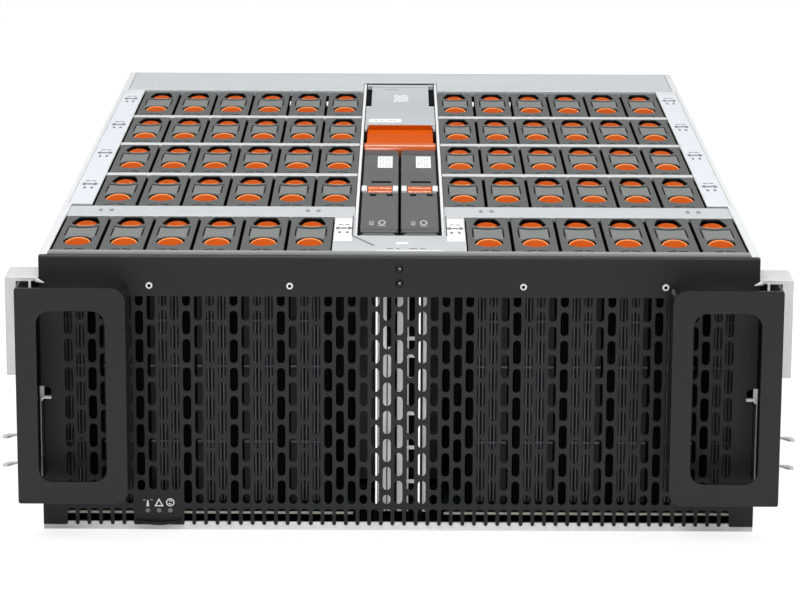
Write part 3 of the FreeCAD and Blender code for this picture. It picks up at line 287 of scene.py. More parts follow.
def edged_steel(name, black_from, black_to, shelf, hook=None):
    """Zinc-coated hardware, painted black as shade where it lies behind the handle."""
    paint = Paint(name)
    x, _, z = paint.axes()
    tone = paint.noise(60.0, 3.0, where=paint.stretched((6.0, 1.0, 1.0)))
    # painted shade: black behind the handle, and for the latch inside the chassis as well
    hidden = (abs(x) > black_from * MM) * (abs(x) < black_to * MM) * (z < shelf * MM)
    if hook:
        hidden = hidden + (abs(x) < hook[0] * MM) * (z < hook[1] * MM)
    sheet = paint.blend(hidden, paint.blend(tone, rgb(200, 202, 202), rgb(220, 222, 222)), rgb(12, 13, 14))
    return paint.set(base_color=sheet, metallic=0.25, roughness=tone * 0.16 + 0.34, specular_ior_level=0.4)


def paper_label(name, dark, light):
    """Coated label stock with a faint fibre."""
    paint = Paint(name)
    fibre = paint.noise(700.0, 4.0)
    paint.bump(fibre, 0.06, 0.0001)
    return paint.set(base_color=paint.blend(fibre, dark, light), roughness=fibre * 0.1 + 0.45)


def glowing(name, colour, strength):
    """Pale zinc with a faint glow of its own, in place of the stray light inside the shelf."""
    paint = Paint(name)
    tone = paint.noise(40.0, 3.0)
    return paint.set(base_color=paint.blend(tone, colour, (1, 1, 1, 1)), roughness=tone * 0.1 + 0.4,
                     emission_color=paint.blend(tone, colour, (1, 1, 1, 1)), emission_strength=strength)


BLACK = coated_black()
# near black for dark lines and slots, and as painted shade in recesses, gaps and the chassis' interior
BLACK_AND_SHADE = coated_black("black_and_painted_shade", rgb(6, 7, 8), rgb(11, 12, 13), 0.7, 0.04)
LIP_DEPTH = PANEL_HIGH.y - FRONT
LIP_GREY = rolled_lip()
HANDLE_BLACK = coated_black("handle_black", rgb(19, 20, 22), rgb(24, 25, 27), 0.2, 0.35)
STEEL = galvanised("galvanised", rgb(184, 189, 192), rgb(204, 208, 210), 0.25)
BRIGHT_STEEL = galvanised("bright_steel", rgb(222, 224, 226), rgb(244, 245, 246), 0.3)
FLANGE_STEEL = galvanised("flange_steel", rgb(210, 213, 215), rgb(226, 228, 229), 0.25)
DIVIDER_STEEL = galvanised("divider_steel", rgb(196, 199, 201), rgb(214, 216, 217), 0.25)
EAR_STEEL = edged_steel("ear_steel", 200.0, 234.5, 158.4)
LATCH_STEEL = edged_steel("latch_steel", 220.9, 233.0, 200.0, (219.5, 85.0))
CASE_STEEL = galvanised("case_steel", rgb(176, 182, 186), rgb(192, 198, 201), 0.25)
# the caps' sides and the walls of their openings get painted shade below the top skin
CAP = moulded("cap_grey", rgb(80, 82, 82), rgb(90, 92, 91), 0.46, shade_below=CAP_TOP - 0.45)
CAP_LABEL = moulded("cap_label_grey", rgb(108, 111, 109), rgb(118, 121, 119), 0.4, 900.0)
CARTRIDGE = moulded("cartridge_grey", rgb(80, 83, 81), rgb(90, 93, 91), 0.44)
CARTRIDGE_END = moulded("cartridge_end_grey", rgb(74, 66, 65), rgb(84, 75, 73), 0.4)
ORANGE = moulded("grip_orange", rgb(168, 66, 3), rgb(180, 74, 6), 0.34, shine=0.02)
# a paler orange as a painted highlight on the pads' rims
RIM_HIGHLIGHT_ORANGE = moulded("grip_rim_highlight_orange", rgb(226, 136, 74), rgb(234, 148, 86), 0.34, shine=0.12)
BAND_ORANGE = moulded("bail_band_orange", rgb(188, 73, 2), rgb(196, 81, 4), 0.4, shine=0.02)
BAIL_ORANGE = moulded("bail_orange", rgb(184, 78, 2), rgb(192, 86, 4), 0.04, shine=0.9)
DARK = moulded("dark_plastic", rgb(42, 44, 46), rgb(54, 56, 58), 0.42)
RIB_HIGHLIGHT_GREY = moulded("carrier_rib_highlight_grey", rgb(96, 101, 105), rgb(120, 125, 129), 0.34)
FRAME_GREY = moulded("carrier_front_black", rgb(34, 37, 39), rgb(44, 47, 49), 0.4)
DRIVE = cast_drive()
BOARD = board_green()
PIPE = moulded("light_pipe_grey", rgb(112, 114, 116), rgb(132, 134, 136), 0.22)
PAPER = paper_label("label_white", rgb(226, 228, 229), rgb(240, 241, 242))
STRIP_PAPER = paper_label("strip_white", rgb(198, 202, 209), rgb(208, 212, 218))
FOLD_GREY = paper_label("fold_grey", rgb(132, 136, 139), rgb(150, 154, 157))
INK = paper_label("label_ink", rgb(92, 94, 98), rgb(112, 114, 118))
MARK_WHITE = paper_label("mark_white", rgb(222, 224, 226), rgb(242, 243, 244))
# these glow though no lamp, in place of stray light seen through the slots
POST_GLOW_WHITE = glowing("post_edge_glow_white", rgb(235, 236, 237), 0.8)
POST_GLOW_GREY = glowing("post_glow_grey", rgb(150, 152, 154), 0.18)
LABEL_GREY = paper_label("label_print_grey", rgb(150, 153, 157), rgb(168, 171, 175))
LAMP_GREY = paper_label("lamp_grey", rgb(160, 163, 164), rgb(180, 183, 184))
FINISH = {"black_coat": BLACK, "galvanised": STEEL, "cap_plastic": CAP, "orange_plastic": ORANGE,
          "dark_plastic": DARK, "drive_metal": DRIVE, "circuit_board": BOARD, "light_pipe": PIPE,
          "steel": STEEL}


# ---------------------------------------------------------------- making pieces
def add_piece(name, form, material, body="chassis", replaced=(), sharp=21.0):
    """Turns a form in millimetres into a piece of the scene that rides on a body."""
    mesh = bpy.data.meshes.new(name)
    form.to_mesh(mesh)
    form.free()
    mesh.transform(Matrix.Scale(MM, 4))
    mesh.shade_smooth()
    mesh.set_sharp_from_angle(angle=math.radians(sharp))
    mesh.materials.clear()
    mesh.materials.append(material)
    piece = bpy.data.objects.new(name, mesh)
    bpy.context.scene.collection.objects.link(piece)
    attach(piece, body)
    if replaced:
        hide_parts(*replaced)
    return piece


def block(form, low, high, bevel=0.0, segments=2):
    """A bevelled block between two corners."""
    low, high = Vector(low), Vector(high)
    size = high - low
    shape = Matrix.Translation((low + high) / 2) @ Matrix.Diagonal((*size, 1.0))
    made = bmesh.ops.create_cube(form, size=1.0, matrix=shape)
    if bevel:
        edges = list(dict.fromkeys(edge for vert in made["verts"] for edge in vert.link_edges))
        bmesh.ops.bevel(form, geom=edges, offset=bevel, segments=segments, profile=0.5,
                        affect="EDGES", material=-1)


def rod(form, start, end, radius, sides=24, tip=None):
    """A round rod between two points; tip is the radius at its end where that differs."""
    start, end = Vector(start), Vector(end)
    along = end - start
    turn = along.to_track_quat("Z", "Y").to_matrix().to_4x4()
    bmesh.ops.create_cone(form, cap_ends=True, segments=sides, radius1=radius,
                          radius2=radius if tip is None else tip, depth=along.length,
                          matrix=Matrix.Translation((start + end) / 2) @ turn)


def soften_ends(form, offset, segments):
    """Rounds the edges at both ends of each rod."""
    ends = [edge for edge in form.edges if edge.calc_face_angle() > 1.0]
    bmesh.ops.bevel(form, geom=ends, offset=offset, segments=segments, profile=0.5,
                    affect="EDGES", material=-1)


def plate(outlines, thickness, bevel, place=Matrix.Identity(4)):
    """A flat plate with holes from closed outlines in X and Y, its edges rounded, standing on Z = 0."""
    curve = bpy.data.curves.new("plate", "CURVE")
    curve.dimensions, curve.fill_mode = "2D", "BOTH"
    curve.extrude, curve.bevel_depth, curve.offset = thickness / 2 - bevel, bevel, -bevel
    curve.bevel_resolution = 1
    for points in outlines:
        spline = curve.splines.new("POLY")
        spline.points.add(len(points) - 1)
        spline.use_cyclic_u = True
        for point, (x, y) in zip(spline.points, points):
            point.co = (x, y, 0.0, 1.0)
    holder = bpy.data.objects.new("plate", curve)
    mesh = bpy.data.meshes.new_from_object(holder)
    form = bmesh.new()
    form.from_mesh(mesh)
    bpy.data.objects.remove(holder)
    bpy.data.meshes.remove(mesh)
    bmesh.ops.remove_doubles(form, verts=form.verts, dist=0.0001)
    bmesh.ops.transform(form, verts=form.verts, matrix=place @ Matrix.Translation((0, 0, thickness / 2)))
    bmesh.ops.recalc_face_normals(form, faces=form.faces)
    return form


def lay(height):
    """Stands a plate drawn in X and Y on that height."""
    return Matrix.Translation((0, 0, height))


def upright(y):
    """Turns a plate drawn in X and Z to stand in front of Y, facing the front."""
    return Matrix.Translation((0, y, 0)) @ Matrix.Rotation(math.radians(90), 4, "X")


def arc(centre, reach, start, end, steps):
    """Points along an elliptic arc, angles in degrees."""
    angles = [math.radians(start + (end - start) * step / steps) for step in range(steps + 1)]
    return [(centre[0] + reach[0] * math.cos(a), centre[1] + reach[1] * math.sin(a)) for a in angles]


def oval(centre, reach, steps=24):
    return arc(centre, reach, 0.0, 360.0 - 360.0 / steps, steps - 1)


def rounded(low, high, radius, steps=3):
    """A rectangle with round corners."""
    x0, y0, x1, y1 = *low, *high
    corners = [((x1 - radius, y1 - radius), 0), ((x0 + radius, y1 - radius), 90),
               ((x0 + radius, y0 + radius), 180), ((x1 - radius, y0 + radius), 270)]
    return [point for centre, turn in corners
            for point in arc(centre, (radius, radius), turn, turn + 90, steps)]


def joined(*forms):
    """One form from several."""
    whole = forms[0]
    for form in forms[1:]:
        mesh = bpy.data.meshes.new("part")
        form.to_mesh(mesh)
        form.free()
        whole.from_mesh(mesh)
        bpy.data.meshes.remove(mesh)
    return whole


def repeated(form, places):
    """One form holding a copy of the first at each place."""
    mesh = bpy.data.meshes.new("repeat")
    form.to_mesh(mesh)
    form.free()
    whole = bmesh.new()
    for place in places:
        count = len(whole.verts)
        whole.from_mesh(mesh)
        whole.verts.ensure_lookup_table()
        bmesh.ops.translate(whole, verts=whole.verts[count:], vec=place)
    bpy.data.meshes.remove(mesh)
    return whole


def refined(node, bevel, material, move=None):
    """A copy of a CAD node with its faces merged and its edges softened, shown in its place."""
    form = bmesh.new()
    form.from_mesh(frame["nodes"][node].data)
    bmesh.ops.scale(form, verts=form.verts, vec=(1 / MM,) * 3)
    if move:
        move(form)
    bmesh.ops.remove_doubles(form, verts=form.verts, dist=0.001)
    bmesh.ops.dissolve_limit(form, angle_limit=math.radians(1.0), verts=form.verts, edges=form.edges)
    sharp = [e for e in form.edges if len(e.link_faces) == 2 and e.calc_face_angle() > math.radians(35)]
    bmesh.ops.bevel(form, geom=sharp, offset=bevel, segments=2, profile=0.5, affect="EDGES",
                    material=-1, clamp_overlap=True)
    return add_piece(node + "_form", form, material, BODY_OF[node], (node,))


CARD, FILM = (0.1, 0.02), (0.06, 0.01)         # thickness and edge rounding of a label and of a print
SKIM = 0.02                        # how far a label is sunk in its sheet, or a dark line stands out of it
ON_LABEL = 0.07                    # height of the print on a label


# ---------------------------------------------------------------- front panel
SLOT_WIDTH, SLOT_LENGTH, SLOT_WEB, SLOT_SPACING = 4.9, 15.2, 2.8, 7.25
SLOT_COLUMNS, SLOT_ROWS, GRILLE_TOP = 57, 7, 149.3
COMB_HEIGHT = 10.5
STATUS_LOW, STATUS_HIGH = box_mm("status_panel")
STATUS_TOP = 25.5                  # the slots over the status marks stop here
HOOK_HOLE = (HALF - 3.7, 89.0, 2.6)            # X, Z and radius
RING_SCREWS, RING_LEVEL = (-153.0, -67.0, 76.0, 163.0), 156.0
CENTRE_SCREWS = (158.0, 167.0)     # heights


def column_middles():
    """X of every slot column, evenly spread about the middle of the panel."""
    return [(column - (SLOT_COLUMNS - 1) / 2) * SLOT_SPACING for column in range(SLOT_COLUMNS)]


def slot_outline(x, low, high, flat_top):
    """A slot with a round foot, and a round or a nearly square head."""
    half = SLOT_WIDTH / 2
    foot = arc((x, low + half), (half, half), 180, 360, 6)
    if flat_top:
        corner = 0.7
        return foot + arc((x + half - corner, high - corner), (corner, corner), 0, 90, 2) \
            + arc((x - half + corner, high - corner), (corner, corner), 90, 180, 2)
    return foot + arc((x, high - half), (half, half), 0, 180, 6)


def slot_outlines():
    """Every slot of the staggered grille; every other column starts with a short slot."""
    pitch = SLOT_LENGTH + SLOT_WEB
    bottom = GRILLE_TOP - pitch / 2 - (SLOT_ROWS - 1) * pitch - SLOT_LENGTH
    for column, x in enumerate(column_middles()):
        over_status = STATUS_LOW.x - 0.4 < x < STATUS_HIGH.x + 0.4
        short_top = column % 2 == 0
        first = GRILLE_TOP - pitch / 2 if short_top else GRILLE_TOP
        for row in range(SLOT_ROWS):
            high = first - row * pitch
            low = max(high - SLOT_LENGTH, STATUS_TOP) if over_status else high - SLOT_LENGTH
            yield slot_outline(x, low, high, high == GRILLE_TOP)
        if short_top:
            yield slot_outline(x, first + SLOT_WEB, GRILLE_TOP, True)
        elif not over_status:
            yield slot_outline(x, bottom, first - SLOT_ROWS * pitch, False)


def panel_edge():
    """The panel's own outline, with the comb along its foot and room for the status panel."""
    low, tooth = PANEL_LOW.z, PANEL_LOW.z + COMB_HEIGHT
    left, right = STATUS_LOW.x - 0.3, STATUS_HIGH.x + 0.3
    half, corner, foot = SLOT_WIDTH / 2, 1.6, 1.05
    edge = [(-HALF, low)]
    for x in column_middles():
        if x < left or x > right:
            edge += arc((x - half - foot, low + foot), (foot, foot), 270, 360, 3)
            edge += arc((x - half + corner, tooth - corner), (corner, corner), 180, 90, 3)
            edge += arc((x + half - corner, tooth - corner), (corner, corner), 90, 0, 3)
            edge += arc((x + half + foot, low + foot), (foot, foot), 180, 270, 3)
    notch = [(HALF, 16.2), (HALF - 1.5, 16.6), (HALF - 1.5, 18.0), (HALF, 18.4)]
    mirrored = [(-x, z) for x, z in reversed(notch)]
    return edge + [(HALF, low)] + notch + [(HALF, TOP - 1.6), (-HALF, TOP - 1.6)] + mirrored


def front_panel():
    """Slotted front sheet, its rolled top edge and the lip behind it."""
    holes = list(slot_outlines())
    holes += [oval((side * HOOK_HOLE[0], HOOK_HOLE[1]), (HOOK_HOLE[2],) * 2, 16) for side in SIDES.values()]
    sheet = plate([panel_edge()] + holes, GAUGE, 0.22, upright(FRONT + GAUGE))
    add_piece("front_panel_sheet", sheet, BLACK, replaced=["front_panel"])
    lip = bmesh.new()
    block(lip, (-HALF, FRONT, TOP - 3.2), (HALF, FRONT + GAUGE + 1.0, TOP), 1.5, 4)
    block(lip, (-HALF + 5.0, FRONT + 1.0, TOP - GAUGE), (HALF - 5.0, PANEL_HIGH.y, TOP), 0.3)
    add_piece("front_panel_lip", lip, LIP_GREY)


def ring_screws():
    """Four bright countersunk screws above the grille, their sockets black as painted shade, and two black
    ones at the middle, each with a bright dot as a painted glint.
    """
    bright, sockets, black = bmesh.new(), bmesh.new(), bmesh.new()
    for x in RING_SCREWS:
        rod(bright, (x, FRONT + 0.2, RING_LEVEL), (x, FRONT - 0.5, RING_LEVEL), 2.2, 20, 1.9)
        # painted shade: a black disc in each socket
        rod(sockets, (x, FRONT, RING_LEVEL), (x, FRONT - 0.6, RING_LEVEL), 1.15, 6)
    for z in CENTRE_SCREWS:
        rod(black, (0.0, FRONT + 0.2, z), (0.0, FRONT - 1.5, z), 2.7, 24, 1.7)
        # painted glint: a small bright dot on each black screw
        rod(bright, (0.3, FRONT, z + 0.4), (0.3, FRONT - 1.6, z + 0.4), 0.45, 8)
    add_piece("panel_screws_and_glints", bright, BRIGHT_STEEL)
    add_piece("panel_screw_sockets", sockets, BLACK_AND_SHADE)
    add_piece("centre_screws", black, HANDLE_BLACK)


def status_lip():
    """Crescent thumb lip under the status marks, and the ends of the three light pipes."""
    middle, half = (STATUS_LOW.x + STATUS_HIGH.x) / 2, (STATUS_HIGH.x - STATUS_LOW.x) / 2 - 0.6
    smile = arc((middle, STATUS_LOW.z + 3.9), (half, 3.9), 180, 360, 16)
    brim = arc((middle, STATUS_LOW.z + 3.9), (half, 1.5), 360, 180, 16)
    add_piece("status_lip", plate([smile + brim[1:-1]], 3.4, 0.7, upright(FRONT + 0.6)), HANDLE_BLACK,
              replaced=["status_panel"])
    ends = bmesh.new()
    for step in (-1, 0, 1):
        x, z = middle + step * 7.0, STATUS_LOW.z + 9.0
        rod(ends, (x, FRONT + 1.0, z), (x, FRONT - 0.25, z), 1.6, 20, 1.4)
    add_piece("light_pipe_ends", ends, PIPE, replaced=["status_light_pipes"])


def edge_trims():
    """Black edging between the panel and the rack ears, and near-black sheets on the inner walls of the
    outer bays as painted shade.
    """
    trims, shade_sheets = bmesh.new(), bmesh.new()
    wall_in = HALF - GAUGE
    for side in SIDES.values():
        a, b = sorted((side * (HALF - 0.1), side * (HALF + 4.2)))
        block(trims, (a, FRONT - 0.28, 30.0), (b, FRONT + 0.6, 158.6), 0.1)
        # painted shade on the outer bays' walls
        a, b = sorted((side * (wall_in - 0.7), side * (wall_in - 0.05)))
        block(shade_sheets, (a, FRONT + 17.0, 14.0), (b, FRONT + 124.0, TOP - 2.2))
    add_piece("panel_edge_trims", trims, BLACK_AND_SHADE)
    add_piece("outer_bay_shade_sheets", shade_sheets, BLACK_AND_SHADE)


def status_marks():
    """Three plain marks over the light pipes: a beacon, an empty triangle and a ring."""
    middle = (STATUS_LOW.x + STATUS_HIGH.x) / 2
    level = STATUS_LOW.z + 14.2
    marks = [[[(middle - 7.9, level - 2.6), (middle - 6.1, level - 2.6), (middle - 6.6, level + 1.4),
               (middle - 7.4, level + 1.4)]]]
    for side in SIDES.values():
        centre = (middle - 7.0 + side * 2.3, level + 0.8)
        for turn in (-35, 20):
            start, end = 90 - turn, 60 - turn
            marks.append([arc(centre, (0.7, 0.7), start, end, 2) + arc(centre, (1.1, 1.1), end, start, 2)])
    marks.append([[(middle - 2.9, level - 2.6), (middle + 2.9, level - 2.6), (middle, level + 2.6)],
                  [(middle - 1.6, level - 1.8), (middle + 1.6, level - 1.8), (middle, level + 1.2)]])
    centre = (middle + 7.0, level)
    marks.append([oval(centre, (2.6, 2.6), 20), oval(centre, (1.95, 1.95), 20)])
    for turn in (15, 195):
        marks.append([arc(centre, (1.4, 1.4), turn, turn + 120, 5)])
    forms = [plate(outlines, 0.12, 0.02, upright(FRONT - SKIM)) for outlines in marks]
    add_piece("status_marks", joined(*forms), MARK_WHITE)


def carrier_fronts():
    """Ribbed dark fronts of the first row, seen through the slots, with pale ribs as painted highlight and a
    near-black block as painted shade; one lifts with its carrier.
    """
    half, shift, foot = 9.6, 1.5, 13.0
    for row, side, column in BAYS:
        if row:
            continue
        x, y = bay_corner(row, side, column)
        middle = x + CAP_WIDTH / 2 + side * shift
        form, ribs, shade = bmesh.new(), bmesh.new(), bmesh.new()
        block(form, (middle - half, y - 1.2, foot), (middle + half, y + 0.6, DRIVE_TOP - 3.0), 0.3)
        # painted shade: a near-black block round the front
        block(shade, (x + 0.4, y - 0.5, foot + 1.5), (x + CAP_WIDTH - 0.4, y + 1.1, DRIVE_TOP - 0.3))
        behind = 1.008                # the ribs stand behind the slots, so they sit a little further out
        for column_x in (x for x in column_middles() if abs(x * behind - middle) < half - 1.6):
            for step in (-1.25, 0.95):
                rib = column_x * behind + step
                # the ribs are pale grey as a painted highlight
                block(ribs, (rib - 0.32, y - 4.0, foot + 2.0), (rib + 0.32, y - 1.1, DRIVE_TOP - 6.0))
        for level in (52.0, 100.5, 129.5):
            block(ribs, (middle - half, y - 3.2, level), (middle + half, y - 1.1, level + 1.0), 0.2)
        body = MOVABLE.get((row, side, column), "chassis")
        name = "carrier_front_{}_{}".format("left" if side < 0 else "right", column)
        add_piece(name, form, FRAME_GREY, body)
        add_piece(name + "_ribs", ribs, RIB_HIGHLIGHT_GREY, body)
        add_piece(name + "_shade", shade, BLACK_AND_SHADE, body)


def post_details():
    """Glowing edges and brackets of the centre post, standing in for stray light, and near-black blocks as
    painted shade in its windows, seen through the slots.
    """
    low, high = box_mm("centre_post")
    edges, windows, brackets = bmesh.new(), bmesh.new(), bmesh.new()
    for x in (low.x + 0.1, high.x - 2.3):
        block(edges, (x, low.y - 0.9, low.z + 8.0), (x + 1.1, low.y + 0.4, high.z - 8.0), 0.2)
    back, foot, head = high.y - GAUGE, low.z + 6.0, high.z - 6.0
    block(windows, (-8.2, back - 5.0, foot), (-7.2, back + 0.1, head), 0.2)
    for left, right in ((6.4, 10.6), (-4.0, -1.3)):
        block(windows, (left, low.y + 1.0, foot), (right, low.y + 2.2, head), 0.3)
    for left, right, end, bevel in ((-1.1, 2.7, head, 0.3), (-6.9, -4.2, high.z - 60.0, 0.3),
                                    (5.2, 6.2, head, 0.2), (-13.0, -7.6, head, 0.3)):
        block(brackets, (left, low.y + 2.0, foot), (right, low.y + 3.2, end), bevel)
    block(brackets, (high.x + 0.3, low.y + 1.0, foot), (high.x + 3.0, low.y + 2.0, high.z - 14.0), 0.3)
    for level in (26.0, 48.0, 70.0, 92.0, 107.0, 118.0):
        block(brackets, (5.0, low.y + 0.2, level), (10.2, low.y + 0.9, level + 2.4), 0.3)
    add_piece("post_edges", edges, POST_GLOW_WHITE)
    add_piece("post_windows", windows, BLACK_AND_SHADE)
    add_piece("post_brackets", brackets, POST_GLOW_GREY)


# ---------------------------------------------------------------- carriers
CAP_MIDDLE = CAP_WIDTH / 2
OPENING_HALF = 8.95
FRONT_OPENING = (28.5, 12.8)       # middle and half length along Y, from the cap's front
REAR_LOW, REAR_CORNER, REAR_HIGH = 73.8, 83.5, 101.4     # front, widest place and back of the rear one
SAG = (CAP_MIDDLE, 90.0)           # middle of the curved groove behind the label area
PANEL_SIDE = 9.3                   # half width of the raised label area between the openings
SKIN = 2.0
POCKET_FLOOR = 163.6
FRONT_PAD = (27.0, (8.5, 11.8, 1.9), 170.2, 4.2)         # middle, half sizes, level and rise of a pad
REAR_PAD = (86.2, (7.9, 10.4, 2.7), 169.9, 2.2)
# the rims are a painted highlight along the pads' crests
FRONT_RIM = (27.0, (8.5, 11.8), 170.6, 4.2, 12, 168)     # and the rim, which runs between two angles
REAR_RIM = (86.2, (7.4, 10.6), 172.2, 0.2, 222, 318)
PAD_SHARP = 80.0                   # a pad shades smoothly up to this angle


def cap_top():
    """Cap face: two oval openings, thin grooves beside the label area and a split arc at its front."""
    front = oval((CAP_MIDDLE, FRONT_OPENING[0]), (OPENING_HALF, FRONT_OPENING[1]))
    rear = arc((CAP_MIDDLE, REAR_CORNER), (OPENING_HALF, REAR_CORNER - REAR_LOW), 180, 360, 14)
    rear += [(CAP_MIDDLE + 6.4, REAR_HIGH - 4.0), (CAP_MIDDLE + 5.0, REAR_HIGH)]
    rear += [(CAP_MIDDLE - 5.0, REAR_HIGH), (CAP_MIDDLE - 6.4, REAR_HIGH - 4.0)]
    grooves = []
    for side in SIDES.values():
        x = CAP_MIDDLE + side * (PANEL_SIDE + 0.35)
        grooves.append([(x - 0.35, 44.0), (x + 0.35, 44.0), (x + 0.35, 68.2), (x - 0.35, 68.2)])
    grooves.append(arc(SAG, (17.0, 20.0), 234, 306, 10) + arc(SAG, (17.6, 23.6), 305, 235, 10))
    brow = (CAP_MIDDLE, -1.0)
    for start, end in ((156, 98), (82, 24)):
        grooves.append(arc(brow, (7.8, 8.4), start, end, 5) + arc(brow, (6.6, 5.6), end, start, 5))
    outline = rounded((0.0, 0.0), (CAP_WIDTH, CAP_DEPTH), 0.9, 2)
    return plate([outline, front, rear] + grooves, SKIN, 0.35, lay(CAP_TOP - SKIN))


def cap_skirt():
    """Side walls under the cap face."""
    wall = 1.3
    outer = rounded((0.15, 0.15), (CAP_WIDTH - 0.15, CAP_DEPTH - 0.15), 0.9, 1)
    inner = rounded((wall, wall), (CAP_WIDTH - wall, CAP_DEPTH - wall), 0.6, 1)
    return plate([outer, inner], CAP_TOP - SKIN - DRIVE_TOP, 0.0, lay(DRIVE_TOP))


def pocket_floor():
    form = bmesh.new()
    block(form, (1.2, 1.2, DRIVE_TOP), (CAP_WIDTH - 1.2, CAP_DEPTH - 1.2, POCKET_FLOOR), 0.0)
    return form


def cap_label():
    """Raised pale area between the openings, hollowed towards the front one."""
    front = arc((CAP_MIDDLE, FRONT_OPENING[0]), (OPENING_HALF + 1.0, FRONT_OPENING[1] + 0.9), 140, 40, 8)
    side = PANEL_SIDE - 0.3
    rear = arc(SAG, (17.6, 24.9), 300, 240, 8)
    low = front[0][1]
    points = [(CAP_MIDDLE - side, low)] + front + [(CAP_MIDDLE + side, low)] + rear
    return plate([points], 0.5, 0.15, lay(CAP_TOP - 0.3))


def grip_dome(middle, reach, level, rise):
    """Orange finger pad: half an ellipsoid on a base that slopes by rise over its length."""
    form = bmesh.new()
    bmesh.ops.create_uvsphere(form, u_segments=18, v_segments=10, radius=1.0)
    geometry = form.verts[:] + form.edges[:] + form.faces[:]
    bmesh.ops.bisect_plane(form, geom=geometry, plane_co=(0, 0, 0), plane_no=(0, 0, 1), clear_inner=True)
    across, along, height = reach
    shape = Matrix(((across, 0, 0, CAP_MIDDLE), (0, along, 0, middle),
                    (0, rise / 2, height, level), (0, 0, 0, 1)))
    bmesh.ops.transform(form, verts=form.verts, matrix=shape)
    return form


def grip_rim(middle, reach, level, rise, start, end):
    """Pale raised rim along part of the edge of a finger pad, a painted highlight on its crest."""
    across, along = reach
    outline = arc((0, 0), (across, along), start, end, 10)
    outline += arc((0, 0), (across - 0.8, along - 1.5), end, start, 10)
    place = Matrix(((1, 0, 0, CAP_MIDDLE), (0, 1, 0, middle), (0, rise / 2 / along, 1, level), (0, 0, 0, 1)))
    return plate([outline], 0.9, 0.2, place)


def carriers():
    """Caps, label areas, floors and grips of all sixty carriers; two of them move."""
    fixed = [(*bay_corner(*bay), 0.0) for bay in BAYS if bay not in MOVABLE]
    kinds = {"cap": (cap_top, CAP, "cap_plastic"),
             "cap_label": (cap_label, CAP_LABEL, "cap_plastic"),
             # skirts and pocket floors are near black as painted shade inside the caps
             "cap_skirt": (lambda: joined(pocket_floor(), cap_skirt()), BLACK_AND_SHADE, "dark_plastic")}
    for name, (make, material, slot) in kinds.items():
        replaced = ["drive_caps"] if name == "cap" else []
        add_piece("fixed_" + name + "s", repeated(make(), fixed), material, replaced=replaced)
        for bay, prefix in MOVABLE.items():
            replaced = [prefix + "_cap"] if name == "cap" else []
            add_piece(prefix + "_" + name, repeated(make(), [(*bay_corner(*bay), 0.0)]), material,
                      BODY_OF[prefix + "_cap"], replaced)
    pads = repeated(joined(grip_dome(*FRONT_PAD), grip_dome(*REAR_PAD)), fixed)
    add_piece("fixed_grips", pads, ORANGE, replaced=["cap_grips"], sharp=PAD_SHARP)
    rims = repeated(joined(grip_rim(*FRONT_RIM), grip_rim(*REAR_RIM)), fixed)
    add_piece("fixed_grip_rims", rims, RIM_HIGHLIGHT_ORANGE)
    for bay, prefix in MOVABLE.items():
        place = [(*bay_corner(*bay), 0.0)]
        for end, pad, rim in (("front", FRONT_PAD, FRONT_RIM), ("rear", REAR_PAD, REAR_RIM)):
            node, slot = f"{prefix}_{end}_grip", "orange_plastic"
            pad_form, rim_form = repeated(grip_dome(*pad), place), repeated(grip_rim(*rim), place)
            add_piece(node + "_pad", pad_form, ORANGE, BODY_OF[node], (node,), PAD_SHARP)
            add_piece(node + "_rim", rim_form, RIM_HIGHLIGHT_ORANGE, BODY_OF[node])


# ---------------------------------------------------------------- labels and small marks
def label_marks(x, y):
    """A small plain mark: a bar with a wing at each end, over two dots and under two dashes."""
    outlines = [rounded((x - 2.4, y - 1.8), (x + 2.4, y + 2.2), 0.5)]
    for side in SIDES.values():
        near, far, dot, dash = (x + side * reach for reach in (2.7, 5.2, 2.4, 2.0))
        outlines.append([(near, y - 5.0), (far, y - 1.6), (far, y + 2.2), (near, y + 5.6)][::side])
        outlines.append(rounded((dot - 0.9, y - 15.4), (dot + 0.9, y - 9.6), 0.4))
        outlines.append(rounded((dash - 1.6, y + 10.0), (dash + 1.6, y + 12.4), 0.4))
    return joined(*[plate([outline], *CARD) for outline in outlines])


